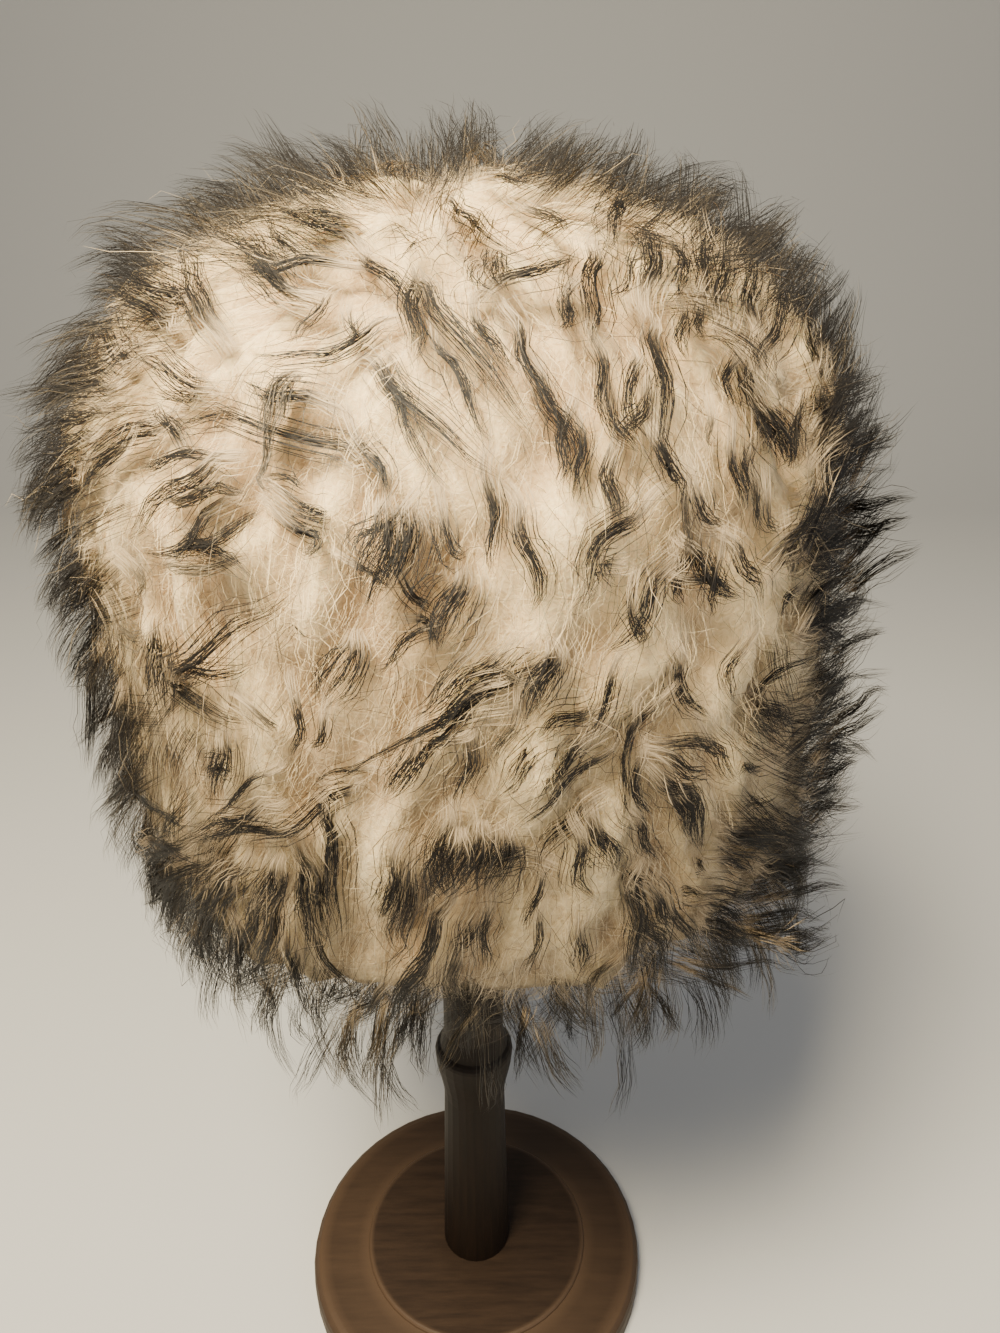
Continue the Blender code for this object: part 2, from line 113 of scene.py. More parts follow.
# Dark locks of the front, charted where they show: from where the charcoal starts to its tip
DARK_LIFT = 0.0085  # over the felted mass, where the charcoal starts
DARK_TIP_LIFT = 0.0135
DARK_ROOT_RUN = 0.017  # of brown hair behind the place where the charcoal starts
DARK_ROOT_LIFT = 0.0060
DARK_LOCKS = [
    # (width in pixels, darkness, x and y of each point)
    # The fringe at the top left
    (16, 0.85, 174, 295, 96, 259), (14, 0.8, 199, 300, 183, 237), (14, 0.8, 263, 250, 216, 228),
    (12, 0.8, 277, 282, 237, 255), (12, 0.7, 330, 228, 263, 210), (16, 0.8, 156, 313, 94, 275),
    (14, 0.8, 116, 355, 74, 322, 45, 326), (12, 0.7, 96, 371, 45, 378), (12, 0.8, 96, 389, 45, 391),
    (14, 0.8, 78, 416, 9, 431), (12, 0.8, 74, 442, 9, 465), (14, 0.8, 138, 431, 67, 463),
    # Left of the crown
    (10, 0.9, 183, 378, 161, 367, 134, 355), (8, 0.9, 188, 396, 138, 389),
    (9, 0.9, 312, 438, 268, 425, 237, 422, 208, 407, 174, 422, 156, 407),
    (9, 0.8, 350, 342, 319, 360, 286, 358, 250, 351), (11, 0.85, 290, 396, 239, 382),
    (5, 0.7, 317, 309, 297, 344), (8, 0.8, 183, 458, 138, 465), (12, 0.85, 304, 262, 275, 268, 245, 259),
    (9, 0.7, 276, 280, 240, 265), (8, 0.8, 174, 427, 151, 402), (4, 0.6, 266, 458, 258, 478, 280, 484),
    (5, 0.8, 289, 481, 309, 483), (8, 0.8, 284, 241, 263, 216),
    # The left side
    (12, 0.8, 109, 462, 76, 491), (12, 0.8, 74, 473, 11, 498), (12, 0.8, 71, 489, 7, 518),
    (14, 0.8, 62, 534, 29, 567), (14, 0.9, 78, 565, 36, 612), (14, 0.9, 85, 592, 47, 630),
    (16, 0.9, 96, 623, 67, 683), (16, 0.8, 100, 663, 65, 690), (18, 0.9, 89, 697, 85, 775),
    (24, 0.9, 120, 719, 112, 790), (12, 0.9, 188, 478, 165, 494, 143, 518, 125, 540),
    (10, 0.7, 194, 496, 248, 489), (11, 0.95, 194, 549, 223, 538, 246, 527, 275, 507),
    (9, 0.9, 194, 529, 176, 547, 143, 556), (8, 0.8, 210, 547, 237, 565, 261, 576),
    (8, 0.9, 306, 529, 319, 538, 310, 549, 292, 549), (8, 0.9, 312, 507, 328, 518),
    (9, 0.5, 199, 567, 161, 574), (9, 0.5, 125, 632, 152, 636), (9, 0.5, 120, 634, 120, 677),
    (9, 0.5, 143, 578, 134, 605), (12, 1.0, 192, 659, 214, 641, 257, 612, 290, 601, 306, 587),
    (9, 0.8, 192, 674, 252, 670), (12, 1.0, 185, 692, 208, 712, 237, 721, 257, 726),
    (8, 0.9, 297, 719, 295, 759), (7, 0.8, 319, 735, 312, 750), (4, 0.7, 350, 768, 312, 786),
    (7, 0.6, 268, 719, 277, 737),
    # The middle of the crown
    (6, 0.8, 388, 163, 384, 188), (5, 0.7, 401, 163, 397, 192), (6, 0.6, 475, 143, 491, 163),
    (7, 0.7, 504, 177, 531, 190), (9, 0.9, 459, 210, 491, 235, 535, 266),
    (11, 1.0, 526, 268, 553, 264, 582, 259), (8, 0.7, 544, 215, 571, 230),
    (10, 0.8, 618, 204, 613, 237, 598, 264), (20, 0.8, 649, 264, 652, 219), (7, 0.8, 631, 271, 611, 306),
    (14, 0.95, 591, 275, 589, 320, 593, 349), (9, 0.8, 567, 309, 564, 331),
    # The long sweep from the crown down to the middle
    (10, 0.9, 377, 268, 415, 306, 437, 315), (12, 0.85, 415, 306, 415, 331, 419, 371),
    (9, 0.9, 437, 309, 455, 340, 482, 369, 509, 398, 531, 431, 540, 454),
    (8, 0.9, 451, 364, 468, 398, 495, 447), (8, 0.9, 488, 335, 504, 360, 526, 376),
    (9, 0.9, 526, 355, 540, 387, 555, 416, 576, 454), (8, 0.8, 555, 405, 576, 442, 580, 480),
    (9, 0.9, 397, 387, 424, 416, 455, 442, 486, 465, 509, 485),
    (7, 0.9, 395, 398, 404, 431, 426, 460, 446, 500), (5, 0.7, 350, 335, 343, 349),
    (8, 0.8, 564, 442, 560, 487), (8, 0.9, 578, 453, 578, 485, 571, 507),
    # Right of the middle
    (9, 0.8, 600, 371, 607, 411, 616, 438), (8, 0.8, 638, 409, 620, 442),
    (9, 0.9, 636, 380, 627, 420, 636, 442), (8, 0.8, 656, 353, 660, 393, 671, 416),
    (10, 0.95, 658, 359, 669, 403, 665, 443, 653, 490), (8, 0.9, 669, 459, 680, 515),
    (14, 0.7, 613, 480, 618, 525), (8, 0.8, 682, 325, 682, 359), (8, 0.8, 700, 318, 705, 341),
    (9, 0.8, 680, 258, 682, 303), (8, 0.8, 729, 376, 725, 403), (9, 0.8, 752, 392, 765, 414),
    (10, 0.9, 738, 467, 749, 514), (9, 0.8, 705, 507, 723, 529),
    # The fringe at the top right
    (18, 0.8, 725, 292, 728, 235), (16, 0.8, 750, 300, 756, 245), (16, 0.8, 707, 270, 707, 215),
    (12, 0.8, 774, 332, 783, 305, 796, 275), (10, 0.8, 814, 359, 807, 332, 805, 314),
    (10, 0.8, 823, 341, 830, 305), (12, 0.8, 832, 408, 850, 381, 881, 376),
    (12, 0.8, 850, 434, 863, 412, 881, 405), (12, 0.8, 870, 443, 883, 421), (10, 0.9, 801, 528, 830, 459),
    (12, 0.8, 825, 488, 854, 470, 903, 469), (14, 0.9, 863, 505, 917, 496), (14, 0.9, 868, 529, 912, 514),
    (14, 0.9, 868, 574, 923, 545), (14, 0.85, 834, 418, 846, 385), (10, 0.8, 823, 405, 825, 384),
    (8, 0.7, 799, 423, 806, 391), (10, 0.7, 820, 442, 834, 419), (12, 0.85, 845, 435, 866, 412),
    (14, 0.85, 831, 459, 850, 439), (9, 0.95, 816, 521, 822, 496, 843, 469, 874, 439),
    (14, 0.95, 815, 528, 845, 525), (22, 0.9, 832, 535, 815, 565), (14, 0.9, 866, 541, 891, 516),
    (9, 0.85, 816, 594, 841, 576), (16, 0.9, 822, 619, 870, 598),
    # The smoky patch right of the middle
    (12, 0.8, 750, 394, 762, 412, 762, 440, 759, 455), (14, 0.85, 775, 423, 786, 437, 790, 455, 781, 464),
    (10, 0.7, 795, 433, 791, 466), (9, 0.8, 745, 470, 752, 494), (6, 0.7, 756, 505, 763, 537),
    (6, 0.7, 768, 516, 774, 537), (6, 0.8, 673, 464, 681, 482), (5, 0.6, 686, 525, 681, 546, 691, 555),
    (5, 0.8, 680, 570, 676, 598), (8, 0.9, 706, 569, 720, 584, 745, 601), (7, 0.6, 795, 559, 791, 582),
    (6, 0.7, 788, 600, 781, 617), (9, 0.85, 620, 423, 641, 457), (6, 0.5, 706, 432, 713, 450),
    # The middle of the front
    (8, 0.9, 375, 462, 384, 485, 388, 505), (6, 0.8, 379, 525, 360, 540, 352, 560),
    (7, 0.9, 457, 543, 462, 556), (8, 0.9, 491, 511, 493, 552, 495, 578),
    (10, 1.0, 529, 543, 538, 565, 535, 619), (11, 1.0, 616, 529, 593, 552, 587, 578, 571, 616),
    (8, 0.9, 605, 563, 607, 585), (12, 1.0, 649, 598, 636, 625, 607, 657), (8, 0.9, 636, 625, 638, 648),
    (8, 0.9, 419, 596, 426, 612), (7, 0.9, 428, 627, 439, 643), (4, 0.8, 408, 643, 370, 670),
    (8, 0.9, 480, 670, 455, 692, 428, 714),
    (7, 0.9, 500, 685, 464, 703, 430, 728, 404, 746, 370, 755, 330, 781), (6, 0.8, 455, 726, 415, 746),
    (9, 0.9, 430, 752, 406, 778, 384, 807), (10, 0.9, 567, 717, 535, 741),
    (9, 0.9, 605, 697, 598, 728, 589, 750), (9, 0.9, 638, 719, 629, 752),
    (16, 0.95, 540, 748, 513, 778, 495, 800), (10, 0.9, 564, 761, 538, 798),
    (8, 0.8, 584, 769, 567, 780, 542, 809, 509, 836), (9, 0.9, 468, 766, 462, 789, 457, 814),
    (4, 0.7, 367, 578, 391, 584), (5, 0.7, 448, 678, 426, 701, 410, 715),
    (5, 0.8, 496, 686, 478, 699, 452, 702), (12, 0.85, 459, 704, 434, 723, 408, 743),
    (10, 0.7, 404, 765, 389, 799), (6, 0.6, 507, 732, 495, 763, 498, 776),
    (4, 0.6, 500, 672, 520, 680, 537, 682),
    # The right side
    (10, 0.9, 700, 560, 702, 592), (9, 0.9, 707, 583, 738, 596), (8, 0.8, 718, 585, 709, 619),
    (7, 0.8, 678, 583, 685, 605), (12, 1.0, 745, 565, 760, 592, 763, 614), (9, 0.8, 792, 540, 810, 523),
    (12, 0.8, 816, 596, 839, 578), (14, 0.9, 825, 625, 865, 601, 897, 605), (12, 0.9, 848, 641, 888, 630),
    (10, 0.9, 765, 683, 796, 665, 830, 650), (12, 0.8, 825, 692, 852, 674, 894, 674),
    (12, 0.8, 854, 708, 877, 688, 892, 692), (14, 0.9, 848, 730, 888, 710),
    (9, 0.9, 680, 681, 694, 708, 711, 723), (9, 0.9, 732, 670, 732, 703),
    (10, 0.9, 803, 746, 819, 732, 832, 732), (12, 0.9, 832, 752, 874, 752), (8, 0.8, 687, 746, 729, 746),
    (9, 0.9, 683, 767, 702, 773, 714, 779), (11, 0.95, 718, 750, 722, 762, 742, 781),
    (6, 0.8, 751, 767, 740, 773), (5, 0.8, 753, 801, 767, 803, 781, 793),
    (12, 0.95, 675, 787, 691, 795, 702, 809), (16, 0.95, 681, 809, 687, 826, 691, 838),
    (8, 0.8, 644, 836, 654, 852, 660, 865), (7, 0.8, 698, 862, 708, 873), (9, 0.9, 687, 891, 704, 899),
    (8, 0.9, 681, 922, 689, 938, 704, 952), (16, 0.95, 653, 934, 669, 954),
    (10, 0.9, 744, 840, 763, 848, 779, 853), (9, 0.95, 734, 864, 759, 869),
    (10, 0.8, 722, 893, 751, 895, 767, 901), (14, 0.95, 720, 909, 734, 918, 749, 922),
    (18, 0.95, 720, 928, 734, 936, 751, 944), (9, 0.9, 730, 967, 767, 960, 789, 967, 804, 969),
    (9, 0.7, 712, 981, 730, 989, 753, 1003), (9, 0.8, 663, 1003, 685, 1034),
    # The fringe of the right side
    (11, 0.9, 826, 752, 844, 743, 865, 748, 879, 764), (14, 0.95, 836, 769, 859, 760),
    (14, 0.95, 814, 792, 836, 789, 865, 785), (14, 0.7, 824, 807, 865, 803),
    (16, 0.9, 796, 824, 820, 824, 855, 818), (12, 0.95, 751, 834, 796, 836, 824, 840, 869, 834),
    (14, 0.9, 779, 860, 812, 862, 844, 867), (16, 0.9, 798, 891, 820, 885, 851, 887),
    (18, 0.9, 771, 870, 800, 878), (16, 0.9, 771, 916, 804, 913, 826, 922),
    (18, 0.95, 761, 933, 793, 930, 830, 950), (16, 0.9, 790, 945, 815, 950),
    # The bottom left
    (9, 0.9, 216, 772, 232, 768), (4, 0.8, 247, 787, 219, 809, 210, 826),
    (10, 0.95, 329, 803, 300, 826, 264, 838, 235, 848), (12, 1.0, 243, 817, 202, 830, 170, 844),
    (10, 0.9, 260, 830, 223, 834, 180, 838), (9, 0.9, 131, 789, 162, 813, 186, 824, 215, 826),
    (10, 1.0, 160, 842, 186, 854, 213, 868), (9, 0.9, 170, 852, 151, 858, 135, 868),
    (11, 1.0, 190, 870, 166, 881, 145, 872), (9, 0.9, 162, 883, 157, 901, 140, 903),
    (12, 0.8, 172, 883, 168, 899, 151, 936), (12, 0.95, 229, 879, 211, 899, 196, 920),
    (24, 0.95, 222, 900, 208, 935, 190, 981), (16, 0.95, 200, 905, 190, 940, 176, 970),
    (14, 0.95, 251, 924, 243, 960, 247, 985), (18, 0.9, 240, 940, 232, 975), (18, 0.9, 268, 930, 262, 980),
    (14, 1.0, 304, 880, 309, 932, 304, 964), (14, 0.95, 319, 890, 323, 932, 328, 950),
    (14, 1.0, 329, 836, 333, 903, 339, 928, 339, 955), (7, 0.9, 294, 964, 296, 991),
    (8, 0.9, 272, 993, 270, 1015), (16, 0.7, 300, 975, 308, 1024), (8, 0.8, 325, 956, 343, 979, 360, 995),
    (8, 0.7, 372, 1003, 351, 1015, 331, 1020), (9, 0.9, 392, 879, 384, 909, 378, 922),
    (8, 0.6, 304, 862, 306, 873),
    # The bottom
    (18, 0.9, 446, 850, 442, 880, 445, 898), (12, 0.8, 509, 852, 470, 868),
    (16, 1.0, 406, 896, 401, 919, 407, 956), (9, 0.9, 390, 896, 378, 919),
    (16, 0.95, 433, 936, 419, 963, 390, 1008), (14, 0.8, 412, 980, 380, 1030),
    (10, 0.95, 464, 936, 453, 956), (8, 0.9, 486, 932, 484, 954, 477, 981),
    (6, 0.8, 533, 896, 526, 923, 522, 936), (6, 0.9, 535, 939, 529, 961, 524, 979),
    (9, 0.9, 564, 823, 544, 847, 535, 869), (12, 0.95, 584, 860, 587, 892, 598, 905),
    (16, 1.0, 605, 840, 616, 865, 614, 885), (8, 0.9, 631, 874, 645, 885),
    (9, 0.95, 638, 785, 640, 807, 654, 820), (7, 0.8, 629, 740, 627, 773, 618, 834),
    (11, 0.9, 663, 910, 674, 925), (20, 0.75, 634, 896, 638, 930, 627, 985), (9, 0.9, 580, 950, 582, 977),
    (8, 0.9, 620, 1006, 609, 1019), (12, 0.6, 455, 974, 455, 1001), (14, 0.6, 598, 974, 585, 1008),
    (18, 0.7, 404, 1026, 390, 1064), (14, 0.6, 345, 1040, 330, 1090), (14, 0.6, 375, 1045, 362, 1095),
    (10, 0.9, 520, 1037, 516, 1085), (10, 0.7, 455, 1040, 436, 1078), (12, 0.6, 640, 1005, 628, 1040),
]

# Dark tips that stand towards the camera
DARK_SPOTS = [
    # (pixel x, pixel y, radius in pixels, darkness)
    (343, 671, 20, 1.0), (154, 658, 9, 0.9), (169, 683, 14, 0.95), (491, 273, 16, 0.9),
    (774, 437, 13, 0.9), (375, 545, 8, 0.9), (404, 549, 8, 0.9), (384, 567, 6, 0.8),
    (450, 610, 9, 0.95), (540, 681, 10, 0.9), (825, 553, 20, 0.85), (768, 715, 14, 0.9),
    (222, 768, 7, 0.9), (272, 890, 11, 0.95), (692, 817, 8, 0.9), (446, 867, 18, 0.95),
    (470, 860, 14, 0.9), (495, 862, 12, 0.85), (803, 938, 18, 0.9), (205, 945, 16, 0.9),
    (788, 868, 14, 0.8), (740, 240, 20, 0.8), (655, 240, 16, 0.8), (278, 405, 12, 0.6),
    (320, 222, 10, 0.85),
]


MIX_SOCKETS = (0, 6, 7)  # the mix node's factor and its two colors
MIX_RESULT = 2


def feed(tree, socket, value):
    """Sets the socket to a number, color or vector, or wires it to another node's output."""
    if isinstance(value, bpy.types.NodeSocket):
        tree.links.new(value, socket)
    elif socket.type == "RGBA":
        socket.default_value = (*value, 1.0)
    else:
        socket.default_value = value


def set_inputs(tree, node, inputs):
    for name, value in inputs.items():
        feed(tree, node.inputs[name], value)
    return node


def add_node(tree, kind, inputs):
    return set_inputs(tree, tree.nodes.new(kind), inputs)


def color_node(tree, stops, factor):
    """A color ramp through (position, color) stops. One number stands for a grey."""
    ramp = add_node(tree, "ShaderNodeValToRGB", {"Fac": factor})
    elements = ramp.color_ramp.elements
    while len(elements) < len(stops):
        elements.new(1.0)
    for element, (position, color) in zip(elements, stops):
        element.position = position
        element.color = (*(color if isinstance(color, tuple) else [color] * 3), 1.0)
    return ramp.outputs["Color"]


def math_node(tree, operation, *values):
    node = tree.nodes.new("ShaderNodeMath")
    node.operation = operation
    for socket, value in zip(node.inputs, values):
        feed(tree, socket, value)
    return node.outputs["Value"]


def mix_node(tree, factor, first, second, blend="MIX"):
    node = tree.nodes.new("ShaderNodeMix")
    node.data_type = "RGBA"
    node.blend_type = blend
    for spot, value in zip(MIX_SOCKETS, (factor, first, second)):
        feed(tree, node.inputs[spot], value)
    return node.outputs[MIX_RESULT]


def noise_node(tree, vector, settings):
    return add_node(tree, "ShaderNodeTexNoise", {"Vector": vector, **settings}).outputs["Fac"]


def bump_node(tree, height, strength, distance):
    bump = {"Height": height, "Strength": strength, "Distance": distance}
    return add_node(tree, "ShaderNodeBump", bump).outputs["Normal"]


def split_node(tree, vector):
    return add_node(tree, "ShaderNodeSeparateXYZ", {"Vector": vector}).outputs


def object_place(tree):
    return tree.nodes.new("ShaderNodeTexCoord").outputs["Object"]


def strand_sheet(tree):
    """The two values of a strand's UV map: the share of the way to its tip, and its tone."""
    sheet = tree.nodes.new("ShaderNodeUVMap")
    sheet.uv_map = "OFBake"
    parts = split_node(tree, sheet.outputs["UV"])
    return parts["X"], parts["Y"]


def new_material(name, inputs):
    mat = bpy.data.materials.new(name)
    mat.use_nodes = True
    shader = set_inputs(mat.node_tree, mat.node_tree.nodes["Principled BSDF"], inputs)
    return mat, mat.node_tree, shader


def add_object(name, data):
    piece = bpy.data.objects.new(name, data)
    bpy.context.scene.collection.objects.link(piece)
    return piece


# Round places on the hat

def crown_arc(depth, steps):
    """The crown's half section from its top to its edge, this far over the hide."""
    angle = np.linspace(math.pi / 2, 0, steps + 1)
    rise = CROWN_RISE + depth * CROWN_SHARE
    return np.column_stack([(HIDE_RADIUS + depth) * np.cos(angle), HIDE_SEAM + rise * np.sin(angle)])


rim_angle = np.linspace(0, -math.pi / 2, OUTLINE_STEPS + 1)
ROUND_RIM = np.column_stack([HIDE_RADIUS + BULK_DEPTH * np.cos(rim_angle),
                             HIDE_RIM + RIM_TUCK + BULK_DEPTH * np.sin(rim_angle)])
FELT_OUTLINE = np.vstack([crown_arc(BULK_DEPTH, OUTLINE_STEPS), ROUND_RIM])
HIDE_OUTLINE = np.vstack([crown_arc(0.0, CROWN_STEPS), [HIDE_RADIUS, HIDE_RIM + RIM_TUCK]])


def unit(vectors):
    return vectors / np.maximum(np.linalg.norm(vectors, axis=-1, keepdims=True), 1e-12)


def to_row(local):
    """From the hat's own frame to the row's."""
    return local @ HAT_TURN.T + HAT_ORIGIN


def over_hide(points):
    """How far each place is from the hide, less on the crown, and the way out from the hide there."""
    local = (points - HAT_ORIGIN) @ HAT_TURN
    radius = np.hypot(local[:, 0], local[:, 1])
    around = local[:, :2] / np.maximum(radius, 1e-9)[:, None]
    flat = np.column_stack([radius, local[:, 2]])
    start = HIDE_OUTLINE[:-1]
    edge = HIDE_OUTLINE[1:] - start
    past = ((flat[:, None] - start) * edge).sum(2) / (edge**2).sum(1)
    foot = start + np.clip(past, 0, 1)[..., None] * edge
    gap = np.linalg.norm(flat[:, None] - foot, axis=2)
    nearest = gap.argmin(1)
    rows = np.arange(len(points))
    away = unit(flat - foot[rows, nearest])
    outward = np.column_stack([away[:, 0:1] * around, away[:, 1]])
    depth = gap[rows, nearest] / crown_factor(away[:, 1])
    return depth, outward @ HAT_TURN.T


def crown_factor(upward):
    """How much of its depth the fleece keeps where its surface faces up this much."""
    return 1 - (1 - CROWN_SHARE) * np.clip(upward, 0, 1) ** 2


def at_depth(points, depth):
    """The places moved straight in or out to this depth over the hide."""
    now, outward = over_hide(points)
    upward = (outward @ HAT_TURN)[:, 2]
    return points + outward * ((depth - now) * crown_factor(upward))[:, None]


def scattered(count, chance):
    """Places spread evenly over the felted mass, as seeds sit in a flower's head."""
    radius, height = FELT_OUTLINE.T
    bands = (radius[1:] + radius[:-1]) * np.hypot(np.diff(radius), np.diff(height))
    above = np.concatenate([[0.0], np.cumsum(bands)])
    share = (np.arange(count) + chance.random(count)) / count * above[-1]
    angle = np.arange(count) * GOLDEN_ANGLE + chance.normal(0, ANGLE_JITTER / math.sqrt(count), count)
    ring = np.interp(share, above, radius)
    local = np.column_stack([ring * np.cos(angle), ring * np.sin(angle), np.interp(share, above, height)])
    return to_row(local)


# The camera's rays, and what they meet

RAY_STEPS = 260
RAY_NEAR = 0.15
RAY_FAR = 0.56
VIEW_RIGHT = np.array((1.0, 0.0, 0.0))
VIEW_AHEAD = np.array((0.0, math.cos(CAMERA_PITCH), -math.sin(CAMERA_PITCH)))
VIEW_UP = np.cross(VIEW_RIGHT, VIEW_AHEAD)


def along_rays(pixels, depths):
    """Where the ray through each pixel first comes this near the hide, or passes closest to it."""
    across = (pixels[:, 0] - PHOTO_WIDTH / 2) / FOCAL_PIXELS
    down = (pixels[:, 1] - PHOTO_HEIGHT / 2) / FOCAL_PIXELS
    rays = VIEW_AHEAD + across[:, None] * VIEW_RIGHT - down[:, None] * VIEW_UP
    reach = np.linspace(RAY_NEAR, RAY_FAR, RAY_STEPS)
    places = np.array(CAMERA_PLACE) + rays[:, None] * reach[None, :, None]
    found = np.empty((len(pixels), 3))
    for i, (line, depth) in enumerate(zip(places, depths)):
        gap = over_hide(line)[0]
        inside = gap < depth
        found[i] = line[inside.argmax() if inside.any() else gap.argmin()]
    return found


# The lie of the hair

LIE_PLACES = along_rays(np.array([row[:2] for row in LIE_CHART], float), [LIE_LEVEL] * len(LIE_CHART))
LIE_WAYS = (np.array([row[2] for row in LIE_CHART])[:, None] * VIEW_RIGHT
            - np.array([row[3] for row in LIE_CHART])[:, None] * VIEW_UP)
SWIRL_WAVES = 5
SWIRL_LENGTH = 0.11
SWIRL_TURN = 0.55  # radians that each wave turns the hair aside
SWIRL_SEED = 11
swirl_chance = np.random.default_rng(SWIRL_SEED)
SWIRLS = unit(swirl_chance.normal(size=(SWIRL_WAVES, 3))) * math.tau / SWIRL_LENGTH
SWIRL_PHASES = swirl_chance.random(SWIRL_WAVES) * math.tau


def turned(ways, outward, angle):
    """The ways turned about the outward direction."""
    angle = np.asarray(angle)[:, None]
    return ways * np.cos(angle) + np.cross(outward, ways) * np.sin(angle)


def lie(points, outward):
    """The way in which the hair lies at each place: charted on the front, downhill in swirls elsewhere."""
    down = -HAT_TURN[:, 2]
    downhill = unit(down - (outward @ down)[:, None] * outward)
    swirl = SWIRL_TURN * np.sin(points @ SWIRLS.T + SWIRL_PHASES).sum(1)
    own = turned(downhill, outward, swirl)
    apart = np.linalg.norm(points[:, None] - LIE_PLACES, axis=2)
    pull = np.exp(-0.5 * (apart / LIE_REACH) ** 2)
    ways = LIE_BASE * own + pull @ LIE_WAYS
    return unit(ways - (ways * outward).sum(1, keepdims=True) * outward)


RELIEF_SEED = 5
RELIEF_WAVES = 8
RELIEF_SAMPLES = 5
RELIEF = [
    # (length of its ridges along the hair, their width, their height)
    (0.004, 0.036, 0.0016),
    (0.024, 0.0120, 0.0028),
    (0.014, 0.0050, 0.0008),
]


def wave_set(width, chance):
    """Seeded plane waves about this far from crest to crest, and their phases."""
    ways = unit(chance.normal(size=(RELIEF_WAVES, 3)))
    lengths = width * chance.uniform(0.7, 1.5, (RELIEF_WAVES, 1))
    return ways * math.tau / lengths, chance.random(RELIEF_WAVES) * math.tau


relief_chance = np.random.default_rng(RELIEF_SEED)
RELIEF_SETS = [wave_set(width, relief_chance) for _, width, _ in RELIEF]


def relief(points, outward):
    """How far the felted mass stands out of its even surface: swells, and ridges along the hair."""
    ways = lie(points, outward)
    height = np.zeros(len(points))
    for (length, _, rise), (waves, phases) in zip(RELIEF, RELIEF_SETS):
        for shift in np.linspace(-length / 2, length / 2, RELIEF_SAMPLES):
            height += rise / RELIEF_SAMPLES * np.sin((points + ways * shift) @ waves.T + phases).sum(1) / 2
    return height


def on_fleece(points, lift=0.0):
    """The places moved in or out to this far over the felted mass."""
    outward = over_hide(points)[1]
    return at_depth(points, BULK_DEPTH + lift + relief(points, outward))


def combed(roots, aside, length, points, lift):
    """Paths over the fleece that start at the roots and follow the hair's lie."""
    place = on_fleece(roots, lift)
    path = [place]
    for _ in range(points - 1):
        outward = over_hide(place)[1]
        ahead = turned(lie(place, outward), outward, aside)
        place = on_fleece(place + ahead * (length / (points - 1))[:, None], lift)
        path.append(place)
    return np.stack(path, axis=1)


BLOCK_SIZE = 50000  # places looked up at a time
LOCK_FLATNESS = 0.6  # a lock's height over its width


def outward_along(paths):
    flat = paths.reshape(-1, 3)
    splits = max(1, len(flat) // BLOCK_SIZE)
    blocks = [over_hide(block)[1] for block in np.array_split(flat, splits)]
    return np.concatenate(blocks).reshape(paths.shape)


def strands_round(guides, owner, spread, chance, habit, halo=1.0):
    """Strands that follow their guides, each a little beside it and closer to it towards the tip.

    spread holds each guide's radius at each of its points, and halo how many times further out
    each strand may lie. habit holds how far the strands wander, the length of a wave, the wisps
    in a lock and how far those part.
    """
    wave, wave_length, wisps, wisp_stray = habit
    count = len(owner)
    points = guides.shape[1]
    along = unit(np.gradient(guides, axis=1))
    out = outward_along(guides)
    aside = unit(np.cross(along, out))
    above = np.cross(aside, along)
    angle = chance.random(count) * math.tau
    ring = np.sqrt(chance.random(count)) * halo
    wisp = chance.integers(0, wisps, count)
    wisp_angle = chance.random((len(guides), wisps)) * math.tau
    wisp_reach = chance.random((len(guides), wisps))
    share = np.linspace(0, 1, points)
    mine = wisp_angle[owner, wisp]
    stray = wisp_stray * wisp_reach[owner, wisp][:, None] * share**1.3
    sideways = ring[:, None] * np.cos(angle)[:, None] * spread[owner] + np.cos(mine)[:, None] * stray
    upwards = (ring[:, None] * np.sin(angle)[:, None] * spread[owner] * LOCK_FLATNESS
               + np.sin(mine)[:, None] * stray)
    run = np.linalg.norm(np.diff(guides, axis=1), axis=2).sum(1)[owner]
    phase = mine[:, None] + chance.normal(0, 0.55, count)[:, None]
    turn = math.tau * share * (run / wave_length)[:, None]
    swing = wave * share**0.7
    sideways += swing * np.sin(turn + phase)
    upwards += LOCK_FLATNESS * swing * np.cos(turn + 1.7 * phase)
    return guides[owner] + aside[owner] * sideways[..., None] + above[owner] * upwards[..., None]


def kinks(paths, chance):
    """Small random bends, none at the root."""
    return chance.normal(0, GUARD_KINK, paths.shape) * np.linspace(0, 1, paths.shape[1])[:, None] ** 0.5


def cut_short(paths, ends):
    """The paths read again up to their own ends, as a share of their length."""
    points = paths.shape[1]
    spot = np.linspace(0, points - 1, points) * ends[:, None]
    low = np.minimum(spot.astype(int), points - 2)
    part = (spot - low)[..., None]
    rows = np.arange(len(paths))[:, None]
    return paths[rows, low] * (1 - part) + paths[rows, low + 1] * part


# Strands as meshes

ROLL = math.radians(60)  # how far a strand's flat side may turn from facing out
NORMAL_SHARE = 0.75  # of the fleece's own outward direction in a strand's shading
TONE_LEAN = 0.004  # how far the UV map reaches across a strand, either way
ALONG_MARGIN = 0.004
TONE_MARGIN = 0.006


def both_sides(values):
    """Each strand's values, twice at its inner points."""
    return np.concatenate([values[:, :1], np.repeat(values[:, 1:-1], 2, axis=1), values[:, -1:]], axis=1)


